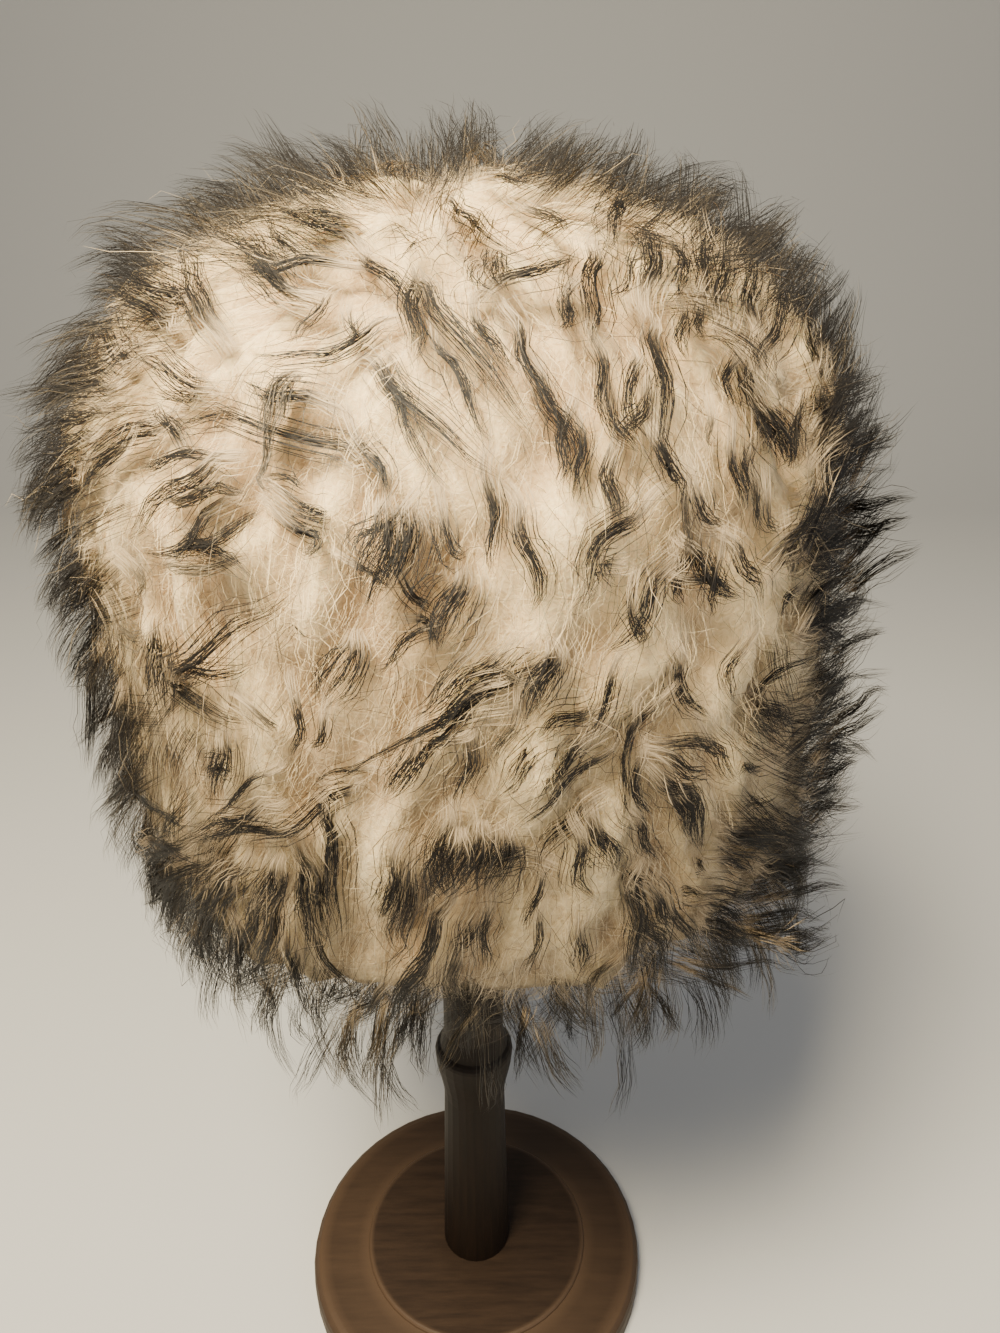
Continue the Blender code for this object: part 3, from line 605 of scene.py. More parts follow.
def hair_mesh(name, paths, along, tone, width, chance):
    """Thin tapering ribbons, pointed at both ends.

    The UV map is one sheet that all the strands share: along runs from root to tip, and tone across.
    """
    count, points = paths.shape[:2]
    inner = points - 2
    tangent = unit(np.gradient(paths, axis=1))
    out = unit(paths - to_row(np.zeros(3)))
    aside = unit(np.cross(tangent, out))
    flat_out = np.cross(aside, tangent)
    roll = chance.uniform(-ROLL, ROLL, (count, 1, 1))
    facing = flat_out * np.cos(roll) + aside * np.sin(roll)
    aside = aside * np.cos(roll) - flat_out * np.sin(roll)
    taper = np.sin(np.linspace(0, math.pi, points)[1:-1]) ** 0.6
    half = aside[:, 1:-1] * (0.5 * width[:, None] * taper)[..., None]
    sides = np.stack([paths[:, 1:-1] - half, paths[:, 1:-1] + half], axis=2).reshape(count, -1, 3)
    verts = np.concatenate([paths[:, :1], sides, paths[:, -1:]], axis=1)
    normal = unit(NORMAL_SHARE * out + (1 - NORMAL_SHARE) * facing)
    normals = both_sides(normal)
    per = 2 * inner + 2
    triangles = [(0, 2, 1)]
    for i in range(inner - 1):
        a = 1 + 2 * i
        triangles += [(a, a + 1, a + 3), (a, a + 3, a + 2)]
    triangles.append((per - 3, per - 2, per - 1))
    index = (np.arange(count)[:, None, None] * per + np.array(triangles)).reshape(-1)
    lean = np.tile([-TONE_LEAN, TONE_LEAN], inner)
    v = tone[:, None] + np.concatenate([[0.0], lean, [0.0]])
    uv = np.stack([np.clip(both_sides(along), ALONG_MARGIN, 1 - ALONG_MARGIN),
                   np.clip(v, TONE_MARGIN, 1 - TONE_MARGIN)], axis=2).reshape(-1, 2)

    mesh = bpy.data.meshes.new(name)
    mesh.vertices.add(count * per)
    mesh.vertices.foreach_set("co", verts.reshape(-1).astype(np.float32))
    mesh.loops.add(len(index))
    mesh.loops.foreach_set("vertex_index", index.astype(np.int32))
    mesh.polygons.add(len(index) // 3)
    mesh.polygons.foreach_set("loop_start", np.arange(0, len(index), 3, dtype=np.int32))
    mesh.update(calc_edges=True)
    layer = mesh.uv_layers.new(name="OFBake")
    layer.uv.foreach_set("vector", uv[index].reshape(-1).astype(np.float32))
    mesh.normals_split_custom_set_from_vertices(normals.reshape(-1, 3).tolist())
    return add_object(name, mesh)


def dress(piece, mat):
    """The piece in its material, riding on the root body in the place of the CAD fur."""
    piece.data.materials.append(mat)
    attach(piece, "root")
    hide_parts("fur_coat")


def add_hair(parts, strands, chance, mat):
    """A piece for each name and choice of strands, from their paths, shares along, tones and widths."""
    for name, chosen in parts:
        dress(hair_mesh(name, *(values[chosen] for values in strands), chance), mat)


# The fleece's felted mass

BULK_SIDES = 280
BULK_STEP = 0.0025
WALL_STEPS = 12
RIM_CHAMFER = (0.004, 0.003)  # across and up, at the hide's lower edge
# How strongly the relief paints shade into the felt's furrows
RIDGE_SHADE_CONTRAST = 0.6


def evenly(outline, step):
    """The outline with points this far apart."""
    along = np.concatenate([[0.0], np.cumsum(np.hypot(*np.diff(outline, axis=0).T))])
    spots = np.linspace(0, along[-1], int(along[-1] / step) + 1)
    return np.column_stack([np.interp(spots, along, outline[:, 0]), np.interp(spots, along, outline[:, 1])])


def fleece_mass(mat):
    """One closed wall round the hide: ridged outside, smooth inside, open where the head goes in."""
    outer = evenly(FELT_OUTLINE, BULK_STEP)[1:]
    wall = HIDE_RADIUS + HIDE_CLEARANCE
    rim = outer[-1, 1]
    inner = crown_arc(HIDE_CLEARANCE / CROWN_SHARE, WALL_STEPS)[1:][::-1]
    profile = np.vstack([outer[:-1], [wall + RIM_CHAMFER[0], rim], [wall, rim + RIM_CHAMFER[1]], inner])
    angle = np.arange(BULK_SIDES) * math.tau / BULK_SIDES
    local = np.stack([profile[:, None, 0] * np.cos(angle), profile[:, None, 0] * np.sin(angle),
                      np.repeat(profile[:, 1:], BULK_SIDES, axis=1)], axis=2)
    grid = to_row(local.reshape(-1, 3))
    depth, outward = over_hide(grid)
    height = relief(grid, outward)
    grid += outward * (height * np.clip(depth / BULK_DEPTH, 0, 1) ** 2)[:, None]
    tops = to_row(np.array([[0, 0, HIDE_SEAM + CROWN_RISE + BULK_DEPTH * CROWN_SHARE],
                            [0, 0, HIDE_SEAM + CROWN_RISE + HIDE_CLEARANCE]]))
    rows, sides = len(profile), BULK_SIDES
    faces = []
    for i in range(rows - 1):
        for j in range(sides):
            k = (j + 1) % sides
            faces.append((i * sides + j, (i + 1) * sides + j, (i + 1) * sides + k, i * sides + k))
    last = rows * sides
    for j in range(sides):
        k = (j + 1) % sides
        faces.append((last, j, k))
        faces.append((last + 1, (rows - 1) * sides + k, (rows - 1) * sides + j))
    mesh = bpy.data.meshes.new("fleece")
    mesh.from_pydata(np.vstack([grid, tops]).tolist(), [], faces)
    mesh.shade_smooth()
    # Painted shade: the ridge value darkens the felt's colour where the relief sinks into furrows.
    ridge = mesh.attributes.new("ridge", "FLOAT", "POINT")
    level = 0.5 + height / sum(rise for _, _, rise in RELIEF) * RIDGE_SHADE_CONTRAST
    ridge.data.foreach_set("value", np.concatenate([level, [0.5, 0.5]]).astype(np.float32))
    dress(add_object("fleece", mesh), mat)


def fleece_material():
    """Matted cream down, with painted shade: tan in its furrows, and darker and greyer low on the hat."""
    mat, tree, shader = new_material("fleece_felt", {
        "Roughness": 0.85, "Subsurface Weight": 0.25, "Subsurface Radius": (0.0030, 0.0022, 0.0014),
        "Subsurface Scale": 1.0, "Specular IOR Level": 0.2, "Sheen Weight": 0.15})
    place = object_place(tree)
    matted = noise_node(tree, place, {"Scale": 300.0, "Detail": 7.0, "Roughness": 0.62, "Distortion": 1.8})
    ridge = tree.nodes.new("ShaderNodeAttribute")
    ridge.attribute_name = "ridge"
    # Painted shade: tan where the relief sinks into furrows, cream on its ridges.
    base = color_node(tree, [(0.15, (0.62, 0.445, 0.255)), (0.45, (0.78, 0.595, 0.35)),
                             (0.75, (0.89, 0.705, 0.42))], ridge.outputs["Fac"])
    # Painted shade: the felt turns darker and greyer towards the bottom of the hat.
    low = color_node(tree, [(0.27, (0.37, 0.37, 0.38)), (0.37, (0.66, 0.675, 0.70)), (0.45, 1.0)],
                     split_node(tree, place)["Z"])
    shaded = mix_node(tree, 1.0, base, low, "MULTIPLY")
    grain = color_node(tree, [(0.34, (0.70, 0.64, 0.56)), (0.58, 1.0)], matted)
    set_inputs(tree, shader, {"Base Color": mix_node(tree, 0.75, shaded, grain, "MULTIPLY"),
                              "Normal": bump_node(tree, matted, 0.7, 0.0012)})
    return mat


# The underfur: cream strands in tufts, the tufts in locks

WOOL_SEED = 21
WOOL_TUFTS = 2000
WOOL_LOCKS = 620
WOOL_PER_TUFT = 7
WOOL_POINTS = 7
WOOL_LENGTH = 0.020
WOOL_RISE = 0.0038
WOOL_WIDTH = 0.00016
WOOL_LOCK_PULL = 0.34
WOOL_HABIT = (0.0012, 0.0085, 3, 0.0018)
CROWN_WOOL_HEIGHT = 0.463  # above it the wool is in wool_crown
GREY_SHADE_HEIGHT = 0.44  # painted shade: the wool turns darker and greyer below it
GREY_SHADE_RUN = 0.16
MOST_GREY = 0.84
PATCH_WAVES = 5
PATCH_LENGTH = 0.06
TUFT_RADIUS = 0.0065
TUFT_NARROWING = 0.45


def wool_material():
    mat, tree, shader = new_material("wool", {"Roughness": 0.62, "Specular IOR Level": 0.25,
                                              "Sheen Weight": 0.12, "Sheen Roughness": 0.45})
    along, tone = strand_sheet(tree)
    # Darker towards the root: painted shade deep in the fleece.
    light = color_node(tree, [(0.0, (0.72, 0.535, 0.300)), (0.4, (0.81, 0.630, 0.365)),
                              (1.0, (0.88, 0.705, 0.425))], along)
    # The grey ramp carries the painted shade low on the hat as well as the greyer patches.
    grey = color_node(tree, [(0.0, (0.38, 0.305, 0.225)), (0.4, (0.44, 0.36, 0.28)),
                             (1.0, (0.46, 0.385, 0.31))], along)
    brown = color_node(tree, [(0.86, 0.0), (0.96, 1.0)], tone)
    color = mix_node(tree, brown, mix_node(tree, tone, light, grey), (0.10, 0.068, 0.044))
    set_inputs(tree, shader, {"Base Color": color})
    return mat


def wool_tone_and_shade(places, chance):
    """How grey the hair at each place is, 0 for bright cream: darker and greyer low down, which is painted
    shade, and greyer in patches, which is the hair's own tone.
    """
    # Painted shade: the hair darkens and greys towards the bottom of the hat.
    low = np.clip((GREY_SHADE_HEIGHT - places[:, 2]) / GREY_SHADE_RUN, 0, 1)
    ways = unit(chance.normal(size=(PATCH_WAVES, 3))) * math.tau / PATCH_LENGTH
    patch = np.sin(places @ ways.T + chance.random(PATCH_WAVES) * math.tau).sum(1) / 3
    own = chance.normal(0, 0.10, len(places))
    return np.clip(0.10 + 0.66 * low + 0.12 * patch + own, 0.0, MOST_GREY)


def guides_of_wool(chance):
    """A path for each tuft, drawn towards the path of its lock."""
    lock_roots = scattered(WOOL_LOCKS, chance)
    lock_aside = chance.normal(0, 0.22, WOOL_LOCKS)
    lock_length = WOOL_LENGTH * chance.uniform(0.85, 1.3, WOOL_LOCKS)
    lock_rise = WOOL_RISE * chance.uniform(0.75, 1.15, WOOL_LOCKS)
    locks = combed(lock_roots, lock_aside, lock_length, WOOL_POINTS, -ROOT_SINK)
    roots = scattered(WOOL_TUFTS, chance)
    tree = KDTree(WOOL_LOCKS)
    for i, root in enumerate(lock_roots):
        tree.insert(root, i)
    tree.balance()
    home = np.array([tree.find(root)[1] for root in roots])
    aside = lock_aside[home] + chance.normal(0, 0.20, WOOL_TUFTS)
    length = lock_length[home] * chance.uniform(0.8, 1.1, WOOL_TUFTS)
    tufts = combed(roots, aside, length, WOOL_POINTS, -ROOT_SINK)
    share = np.linspace(0, 1, WOOL_POINTS)
    tufts += (WOOL_LOCK_PULL * share**1.4)[:, None] * (locks[home] - tufts)
    rise = ROOT_SINK + lock_rise[home] * chance.uniform(0.8, 1.2, WOOL_TUFTS)
    lift = rise[:, None] * (1 - (1 - share) ** 1.8)
    return roots, tufts + outward_along(tufts) * lift[..., None]


def wool(mat):
    chance = np.random.default_rng(WOOL_SEED)
    roots, guides = guides_of_wool(chance)
    tone = wool_tone_and_shade(roots, chance)
    owner = np.repeat(np.arange(WOOL_TUFTS), WOOL_PER_TUFT)
    count = len(owner)
    share = np.linspace(0, 1, WOOL_POINTS)
    spread = np.broadcast_to(TUFT_RADIUS * (1 - TUFT_NARROWING * share), (WOOL_TUFTS, WOOL_POINTS))
    paths = strands_round(guides, owner, spread, chance, WOOL_HABIT)
    paths = cut_short(paths, chance.uniform(0.72, 1.0, count))
    along = share + chance.normal(0, 0.05, (count, 1))
    tones = np.clip(tone[owner] + chance.normal(0, 0.09, count), 0, MOST_GREY)
    width = WOOL_WIDTH * chance.uniform(0.7, 1.25, count)
    top = roots[owner, 2] > CROWN_WOOL_HEIGHT
    front = roots[owner, 1] < 0
    parts = [("wool_crown", top), ("wool_front", ~top & front), ("wool_back", ~top & ~front)]
    add_hair(parts, (paths, along, tones, width), chance, mat)


# The down: a web of short crimped fibres that lie every way over the felted mass

DOWN_SEED = 27
DOWN_COUNT = 25000
DOWN_POINTS = 5
DOWN_LENGTH = 0.0115
DOWN_RISE = 0.0032
DOWN_WIDTH = 0.00011
DOWN_CRIMP = 0.0009
DOWN_BEND = 0.28
DOWN_SINK = 0.0003
DOWN_ARCH = 0.62  # of a half wave, from a fibre's root to its tip
DOWN_STRAY = 0.8  # radians that a fibre may lie off the hair's lie
BROWN_SHARE = 0.15  # of the down's fibres


def down(mat):
    chance = np.random.default_rng(DOWN_SEED)
    roots = scattered(DOWN_COUNT, chance)
    length = DOWN_LENGTH * chance.uniform(0.6, 1.5, DOWN_COUNT)
    place = on_fleece(roots, -DOWN_SINK)
    outward = over_hide(place)[1]
    ahead = turned(lie(place, outward), outward, chance.normal(0, DOWN_STRAY, DOWN_COUNT))
    aside = np.cross(outward, ahead)
    share = np.linspace(0, 1, DOWN_POINTS)
    rise = DOWN_RISE * chance.uniform(0.3, 1.3, (DOWN_COUNT, 1)) * np.sin(share * math.pi * DOWN_ARCH)
    crimp = DOWN_CRIMP * chance.normal(0, 1, (DOWN_COUNT, DOWN_POINTS)) * share**0.5
    bend = chance.normal(0, DOWN_BEND, (DOWN_COUNT, 1)) * share**2 * length[:, None]
    paths = (place[:, None] + ahead[:, None] * (length[:, None] * share)[..., None]
             + aside[:, None] * (crimp + bend)[..., None] + outward[:, None] * rise[..., None])
    along = 0.45 + 0.55 * share + chance.normal(0, 0.08, (DOWN_COUNT, 1))
    tones = wool_tone_and_shade(roots, chance) + chance.normal(0.04, 0.12, DOWN_COUNT)
    tones = np.clip(np.where(chance.random(DOWN_COUNT) < BROWN_SHARE, 1.0, tones), 0, 1)
    width = DOWN_WIDTH * chance.uniform(0.7, 1.3, DOWN_COUNT)
    front = place[:, 1] < 0
    parts = [("down_front", front), ("down_back", ~front)]
    add_hair(parts, (paths, along, tones, width), chance, mat)


# The guard hair: long locks, cream at the root and charcoal at the tip

GUARD_SEED = 33
GUARD_LOCKS = 1500
GUARD_STRANDS = 36
GUARD_POINTS = 6
CHART_POINTS = 9
GUARD_LENGTH = 0.038
GUARD_RISE = 0.0185
CROWN_EXTRA_RISE = 0.25  # the crown's locks stand up this much more
GUARD_ROOT_RADIUS = 0.0054
GUARD_WIDTH = 0.00023
FREE_WIDTH = 0.00017  # of the strands that aren't charted
GUARD_KINK = 0.0003
FACING_START = 0.22  # where the charted locks begin to take over from the free ones
FACING_END = 0.58
FACING_BACK = -0.30  # beyond this the photograph's camera sees nothing
BACK_SHARE = 0.62  # of the locks, which look as dense there as the charted ones in front
HALO_SHARE = 0.34  # of a charted lock's strands, which lie loosely beside it
HALO_WIDTH = 3.4
SPOT_RISE = 0.005
SPOT_RUN = 0.011
SPOT_BEND = 0.3
SWAY = 0.0013  # how far a charted lock swings from side to side
SWAY_LENGTH = 0.022
CHART_HABIT = (0.0007, 0.012, 3, 0.0014)
CHART_LOCK_WIDTH = 0.0043  # of a lock with CHART_LOCK_STRANDS strands
CHART_LOCK_STRANDS = 43
CHART_FEWEST = 20
CHART_MOST = 84
CHART_ROOT_RADIUS = 0.0018
CHART_STOPS = [0, 0.5, 0.75, 1]  # shares of the way along a lock
CHART_RADII = (0.42, 0.46, 0.12)  # a lock's radius at the last three, as shares of its width
FREE_HABIT = (0.0011, 0.017, 4, 0.0050)
FREE_RUN = 0.75  # the share of its length that a lock runs along the fleece
GUARD_CROWN_HEIGHT = 0.42  # above it the locks are in guard_crown


def guard_material():
    mat, tree, shader = new_material("guard_hair", {"Roughness": 0.55, "Specular IOR Level": 0.2})
    along, darkness = strand_sheet(tree)
    cream = color_node(tree, [(0.0, (0.50, 0.39, 0.26)), (0.3, (0.76, 0.60, 0.385)),
                              (1.0, (0.74, 0.595, 0.40))], along)
    dark = color_node(tree, [(0.10, (0.30, 0.235, 0.175)), (0.34, (0.085, 0.070, 0.056)),
                             (0.50, (0.015, 0.0130, 0.0120)), (1.0, (0.018, 0.0170, 0.0165))], along)
    mask = color_node(tree, [(0.04, 0.0), (0.42, 1.0)], along)
    strength = color_node(tree, [(0.0, 0.0), (0.40, 0.75), (0.70, 1.0)], darkness)
    amount = math_node(tree, "MULTIPLY", mask, strength)
    set_inputs(tree, shader, {"Base Color": mix_node(tree, amount, cream, dark)})
    return mat


def smooth_through(points, count):
    """A smooth path through the points, with the second one half way along it."""
    points = np.array(points)
    runs = np.linalg.norm(np.diff(points, axis=0), axis=1)
    later = np.concatenate([[0.0], np.cumsum(runs[1:])]) / runs[1:].sum()
    stops = np.concatenate([[0.0], 0.5 + 0.5 * later])
    slopes = np.gradient(points, stops, axis=0)
    spots = np.linspace(0, 1, count)
    low = np.clip(np.searchsorted(stops, spots, side="right") - 1, 0, len(stops) - 2)
    step = (stops[low + 1] - stops[low])[:, None]
    t = (spots[:, None] - stops[low][:, None]) / step
    return ((2 * t**3 - 3 * t**2 + 1) * points[low] + (t**3 - 2 * t**2 + t) * step * slopes[low]
            + (3 * t**2 - 2 * t**3) * points[low + 1] + (t**3 - t**2) * step * slopes[low + 1])


def charted_places(pixels, lifts):
    """Where each pixel of the photograph lies, this far over the felted mass."""
    pixels = np.array(pixels, float)
    depths = BULK_DEPTH + np.array(lifts)
    places = along_rays(pixels, depths)
    return along_rays(pixels, depths + relief(places, over_hide(places)[1]))


def charted_guides():
    """A path, a width and a darkness for each charted lock and spot."""
    lines = [np.reshape(line, (-1, 2)) for _, _, *line in DARK_LOCKS]
    lifts = [np.linspace(DARK_LIFT, DARK_TIP_LIFT, len(line)) for line in lines]
    places = charted_places(np.vstack(lines), np.concatenate(lifts))
    guides = []
    for shown in np.split(places, np.cumsum([len(line) for line in lines])[:-1]):
        back = unit(shown[0] - shown[1]) * DARK_ROOT_RUN
        root = on_fleece((shown[0] + back)[None], DARK_ROOT_LIFT)[0]
        guides.append(smooth_through([root, *shown], CHART_POINTS))
    for place in charted_places([row[:2] for row in DARK_SPOTS], [DARK_LIFT] * len(DARK_SPOTS)):
        outward = over_hide(place[None])[1][0]
        ahead = lie(place[None], outward[None])[0]
        reach = SPOT_RISE * outward + SPOT_RUN * ahead
        bend = place - SPOT_BEND * SPOT_RUN * ahead
        guides.append(smooth_through([place - reach, bend, place + reach], CHART_POINTS))
    widths = [row[0] for row in DARK_LOCKS] + [2 * row[2] for row in DARK_SPOTS]
    darkness = [row[1] for row in DARK_LOCKS] + [row[3] for row in DARK_SPOTS]
    return np.stack(guides), np.array(widths) * (HAT_DISTANCE / FOCAL_PIXELS), np.array(darkness)


def charted_guard(mat):
    chance = np.random.default_rng(GUARD_SEED)
    guides, widths, darkness = charted_guides()
    share = np.linspace(0, 1, CHART_POINTS)
    run = np.linalg.norm(np.diff(guides, axis=1), axis=2).sum(1)
    phase = chance.random((len(guides), 1))
    sway = SWAY * np.sin(math.tau * (share * run[:, None] / SWAY_LENGTH + phase))
    guides += np.cross(unit(np.gradient(guides, axis=1)), outward_along(guides)) * sway[..., None]
    strands = np.clip(widths / CHART_LOCK_WIDTH * CHART_LOCK_STRANDS, CHART_FEWEST, CHART_MOST)
    owner = np.repeat(np.arange(len(guides)), strands.astype(int))
    count = len(owner)
    spread = np.stack([np.interp(share, CHART_STOPS, [CHART_ROOT_RADIUS, *(r * w for r in CHART_RADII)])
                       for w in widths])
    halo = np.where(chance.random(count) < HALO_SHARE, HALO_WIDTH, 1.0)
    paths = strands_round(guides, owner, spread, chance, CHART_HABIT, halo)
    paths += kinks(paths, chance)
    paths = cut_short(paths, 1 - 0.28 * chance.random(count) ** 1.6)
    along = share + chance.normal(0, 0.04, (count, 1))
    tones = np.clip(darkness[owner] + chance.normal(0, 0.08, count), 0, 1)
    width = GUARD_WIDTH * chance.uniform(0.7, 1.2, count)
    add_hair([("guard_front", slice(None))], (paths, along, tones, width), chance, mat)


def tipped_locks(guides, strands, middle, tips, habit, shortest, shift, palest, chance, halo_width=None):
    """The strands of free locks: their paths, shares along, tones and widths.

    middle is a lock's radius half way along it, and tips the range of its radius at the tip.
    shortest is a strand's least length as a share of its lock's, shift the range in which the
    charcoal starts earlier, and palest the least darkness of a lock.
    """
    locks = len(guides)
    owner = np.repeat(np.arange(locks), strands)
    count = len(owner)
    share = np.linspace(0, 1, GUARD_POINTS)
    spread = np.stack([np.interp(share, [0, 0.5, 1], [GUARD_ROOT_RADIUS, middle, tip])
                       for tip in chance.uniform(*tips, locks)])
    halo = 1.0
    if halo_width:
        halo = np.where(chance.random(count) < HALO_SHARE, halo_width, 1.0)
    paths = strands_round(guides, owner, spread, chance, habit, halo)
    paths += kinks(paths, chance)
    paths = cut_short(paths, chance.uniform(shortest, 1.0, count))
    start = chance.uniform(*shift, locks)[owner] + chance.normal(0, 0.05, count)
    tones = np.clip(chance.uniform(palest, 1.0, locks)[owner] + chance.normal(0, 0.10, count), 0, 1)
    return paths, share + start[:, None], tones, FREE_WIDTH * chance.uniform(0.7, 1.25, count)


def free_guard(mat):
    """The locks that the photograph doesn't chart: the silhouette, the sides and the back."""
    chance = np.random.default_rng(GUARD_SEED + 1)
    roots = scattered(GUARD_LOCKS, chance)
    facing = (over_hide(roots)[1] * unit(np.array(CAMERA_PLACE) - roots)).sum(1)
    share_kept = (FACING_END - facing) / (FACING_END - FACING_START)
    share_kept[facing < FACING_BACK] = BACK_SHARE
    roots = roots[chance.random(GUARD_LOCKS) < share_kept]
    locks = len(roots)
    aside = chance.normal(0, 0.45, locks)
    length = GUARD_LENGTH * chance.uniform(0.7, 1.15, locks)
    guides = combed(roots, aside, length * FREE_RUN, GUARD_POINTS, -ROOT_SINK)
    share = np.linspace(0, 1, GUARD_POINTS)
    upright = 1 + CROWN_EXTRA_RISE * np.clip(over_hide(roots)[1][:, 2], 0, 1)
    rise = GUARD_RISE * upright * chance.uniform(0.65, 1.2, locks)
    guides += outward_along(guides) * (rise[:, None] * (1 - (1 - share) ** 1.6))[..., None]
    strands = tipped_locks(guides, GUARD_STRANDS, 0.0046, (0.0016, 0.0040), FREE_HABIT, 0.70,
                           (0.08, 0.28), 0.65, chance, 0.5 * HALO_WIDTH)
    high = np.repeat(guides[:, 0, 2] > GUARD_CROWN_HEIGHT, GUARD_STRANDS)
    add_hair([("guard_crown", high), ("guard_side", ~high)], strands, chance, mat)


# The hem: locks that hang from the fleece's lower edge

HEM_SEED = 39
HEM_LOCKS = 190
HEM_STRANDS = 30
HEM_LENGTH = 0.039
HEM_BAND = 0.026  # how far over the lower edge they grow
HEM_FLARE = 0.35
HEM_LEAN = 0.28
HEM_BOW = 0.006
HEM_HABIT = (0.0012, 0.018, 4, 0.0050)


def hem(mat):
    chance = np.random.default_rng(HEM_SEED)
    angle = (np.arange(HEM_LOCKS) + chance.random(HEM_LOCKS)) * math.tau / HEM_LOCKS
    radius = HIDE_RADIUS + BULK_DEPTH * chance.uniform(0.6, 1.0, HEM_LOCKS)
    height = HIDE_RIM + RIM_TUCK - BULK_DEPTH + HEM_BAND * chance.random(HEM_LOCKS)
    around = np.column_stack([np.cos(angle), np.sin(angle), np.zeros(HEM_LOCKS)])
    roots = to_row(around * radius[:, None] + height[:, None] * np.array((0, 0, 1.0)))
    aside = np.cross(around, (0, 0, 1.0)) @ HAT_TURN.T
    out = around @ HAT_TURN.T
    share = np.linspace(0, 1, GUARD_POINTS)
    length = HEM_LENGTH * chance.uniform(0.6, 1.1, HEM_LOCKS)
    flare = HEM_FLARE * chance.uniform(0.2, 1.3, HEM_LOCKS)
    lean = chance.normal(0, HEM_LEAN, HEM_LOCKS)
    ways = unit(-HAT_TURN[:, 2] + flare[:, None] * out + lean[:, None] * aside)
    guides = roots[:, None] + ways[:, None] * (length[:, None] * share)[..., None]
    guides += out[:, None] * (HEM_BOW * np.sin(share * math.pi))[:, None]
    strands = tipped_locks(guides, HEM_STRANDS, 0.0040, (0.0006, 0.0026), HEM_HABIT, 0.66,
                           (0.05, 0.32), 0.60, chance)
    add_hair([("guard_hem", slice(None))], strands, chance, mat)


# Single hairs that stand out of the fleece

STRAY_SEED = 45
STRAY_COUNT = 4500
STRAY_POINTS = 6
STRAY_HABIT = (0.0022, 0.015, 1, 0.002)


def stray_hair(mat):
    chance = np.random.default_rng(STRAY_SEED)
    roots = scattered(STRAY_COUNT, chance)
    length = chance.uniform(0.016, 0.038, STRAY_COUNT)
    guides = combed(roots, chance.normal(0, 0.6, STRAY_COUNT), length, STRAY_POINTS, 0.0)
    share = np.linspace(0, 1, STRAY_POINTS)
    rise = chance.uniform(0.008, 0.022, STRAY_COUNT)
    guides += outward_along(guides) * (rise[:, None] * share**0.8)[..., None]
    spread = np.zeros((STRAY_COUNT, STRAY_POINTS))
    paths = strands_round(guides, np.arange(STRAY_COUNT), spread, chance, STRAY_HABIT)
    along = share + chance.normal(0.15, 0.10, (STRAY_COUNT, 1))
    tones = np.clip(chance.random(STRAY_COUNT) ** 0.5, 0, 1)
    width = chance.uniform(0.00010, 0.00016, STRAY_COUNT)
    add_hair([("stray_hair", slice(None))], (paths, along, tones, width), chance, mat)


# The hide and the stand

def leather_material():
    mat, tree, shader = new_material("suede", {"Roughness": 0.85})
    place = object_place(tree)
    noise = noise_node(tree, place, {"Scale": 420.0, "Detail": 6.0})
    blotch = noise_node(tree, place, {"Scale": 24.0})
    base = color_node(tree, [(0.3, (0.46, 0.35, 0.24)), (0.7, (0.66, 0.54, 0.41))], blotch)
    nap = color_node(tree, [(0.35, 0.78), (0.65, 1.0)], noise)
    set_inputs(tree, shader, {"Base Color": mix_node(tree, 0.8, base, nap, "MULTIPLY"),
                              "Normal": bump_node(tree, noise, 0.35, 0.0004)})
    return mat


def wood_material(name, grain, dark, light, roughness):
    """Stained wood with its grain drawn out along one axis."""
    mat, tree, shader = new_material(name, {"Roughness": roughness, "Specular IOR Level": 0.2})
    place = object_place(tree)
    stretch = add_node(tree, "ShaderNodeMapping", {"Vector": place, "Scale": grain}).outputs["Vector"]
    noise = noise_node(tree, stretch, {"Scale": 1.0, "Detail": 6.0, "Roughness": 0.65})
    color = color_node(tree, [(0.32, dark), (0.72, light)], noise)
    set_inputs(tree, shader, {"Base Color": color, "Normal": bump_node(tree, noise, 0.12, 0.0004)})
    return mat, tree, shader, color, place


def foot_material():
    """The foot's stain, with painted highlights on its turned ring, on fainter bands beyond it and on its
    rounded edge.
    """
    mat, tree, shader, color, place = wood_material(
        "foot_wood", (30.0, 260.0, 260.0), (0.014, 0.0080, 0.0050), (0.031, 0.0185, 0.0115), 0.55)
    parts = split_node(tree, place)
    across = math_node(tree, "POWER", parts["X"], 2.0)
    deep = math_node(tree, "POWER", parts["Y"], 2.0)
    radius = math_node(tree, "SQRT", math_node(tree, "ADD", across, deep))
    decimetres = math_node(tree, "MULTIPLY", radius, 10.0)
    # Painted highlights: light caught by the step of the turned ring and by the rounded edge, with fainter
    # bands between.
    painted_highlights = color_node(tree, [(0.565, 0.0), (0.590, 1.0), (0.66, 0.45), (0.80, 0.30), (0.86, 0.9),
                             (0.90, 0.3)], decimetres)
    set_inputs(tree, shader, {"Base Color": mix_node(tree, painted_highlights, color, (0.056, 0.035, 0.022))})
    return mat


def paint(node, mat):
    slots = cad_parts[node].material_slots
    for slot in slots:
        slot.material = mat
    if not slots:
        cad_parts[node].data.materials.append(mat)


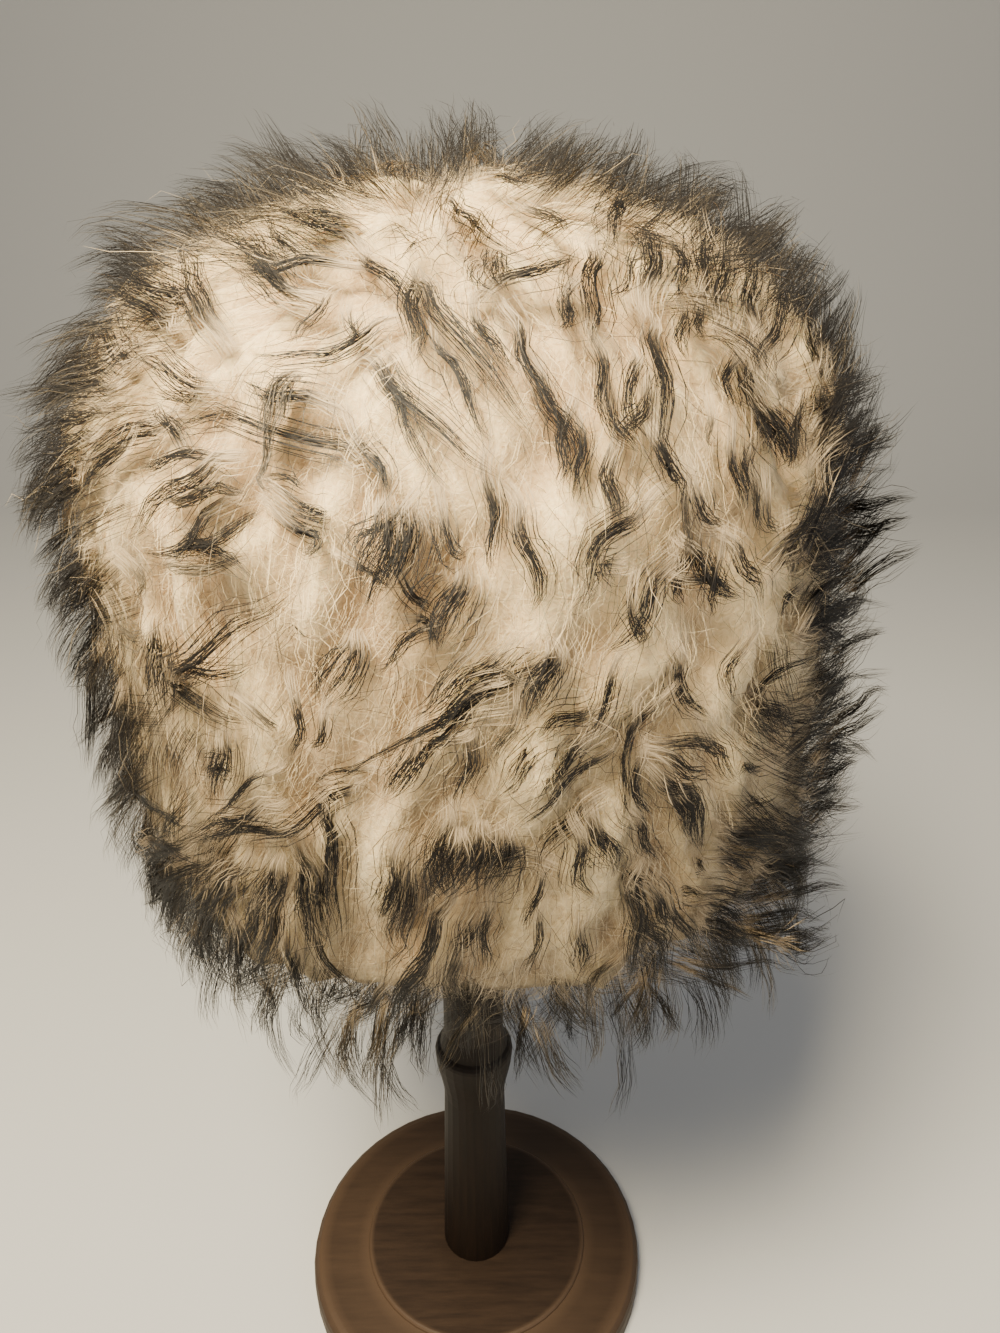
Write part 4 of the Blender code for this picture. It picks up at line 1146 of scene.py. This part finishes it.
def stand_and_hide():
    suede = leather_material()
    paint("hide_side", suede)
    paint("hide_crown", suede)
    paint("stand_foot", foot_material())
    paint("stand_post", wood_material("post_wood", (420.0, 420.0, 26.0), (0.0050, 0.0022, 0.0010),
                                      (0.0105, 0.0050, 0.0022), 0.60)[0])
    paint("stand_dome", wood_material("dome_wood", (300.0, 300.0, 40.0), (0.035, 0.021, 0.013),
                                      (0.085, 0.054, 0.035), 0.5)[0])


# The studio

def camera():
    data = bpy.data.cameras.new("camera")
    data.sensor_width = SENSOR_SIZE
    data.lens = FOCAL_PIXELS * SENSOR_SIZE / PHOTO_HEIGHT
    data.clip_start = 0.01
    eye = add_object("camera", data)
    eye.location = CAMERA_PLACE
    eye.rotation_euler = (math.pi / 2 - CAMERA_PITCH, 0, 0)
    bpy.context.scene.camera = eye


def floor():
    """A pale floor that bends up into a backdrop."""
    profile = [(FLOOR_FRONT, 0.0), (FLOOR_BACK, 0.0)]
    for i in range(1, BEND_STEPS + 1):
        angle = math.pi / 2 * i / BEND_STEPS
        profile.append((FLOOR_BACK + BACKDROP_BEND * math.sin(angle), BACKDROP_BEND * (1 - math.cos(angle))))
    profile.append((FLOOR_BACK + BACKDROP_BEND, BACKDROP_TOP))
    verts = [(side * FLOOR_HALF_WIDTH, y, z) for y, z in profile for side in (-1, 1)]
    faces = [(2 * i, 2 * i + 1, 2 * i + 3, 2 * i + 2) for i in range(len(profile) - 1)]
    mesh = bpy.data.meshes.new("floor")
    mesh.from_pydata(verts, [], faces)
    mesh.shade_smooth()
    mesh.materials.append(new_material("floor", {"Roughness": 0.8, "Base Color": FLOOR_COLOR})[0])
    stage = add_object("floor", mesh)


def lights():
    world = bpy.data.worlds.new("studio")
    bpy.context.scene.world = world
    world.use_nodes = True
    tree = world.node_tree
    set_inputs(tree, tree.nodes["Background"], {"Color": WORLD_COLOR, "Strength": WORLD_STRENGTH})
    for name, place, aim, side, watts, color in LIGHTS:
        data = bpy.data.lights.new(name, "AREA")
        data.size = side
        data.energy = watts
        data.color = color
        lamp = add_object(name, data)
        lamp.location = place
        lamp.rotation_euler = (Vector(aim) - Vector(place)).to_track_quat("-Z", "Y").to_euler()


camera()
floor()
lights()
stand_and_hide()
fleece_mass(fleece_material())
cream = wool_material()
wool(cream)
down(cream)
guard = guard_material()
charted_guard(guard)
free_guard(guard)
hem(guard)
stray_hair(guard)
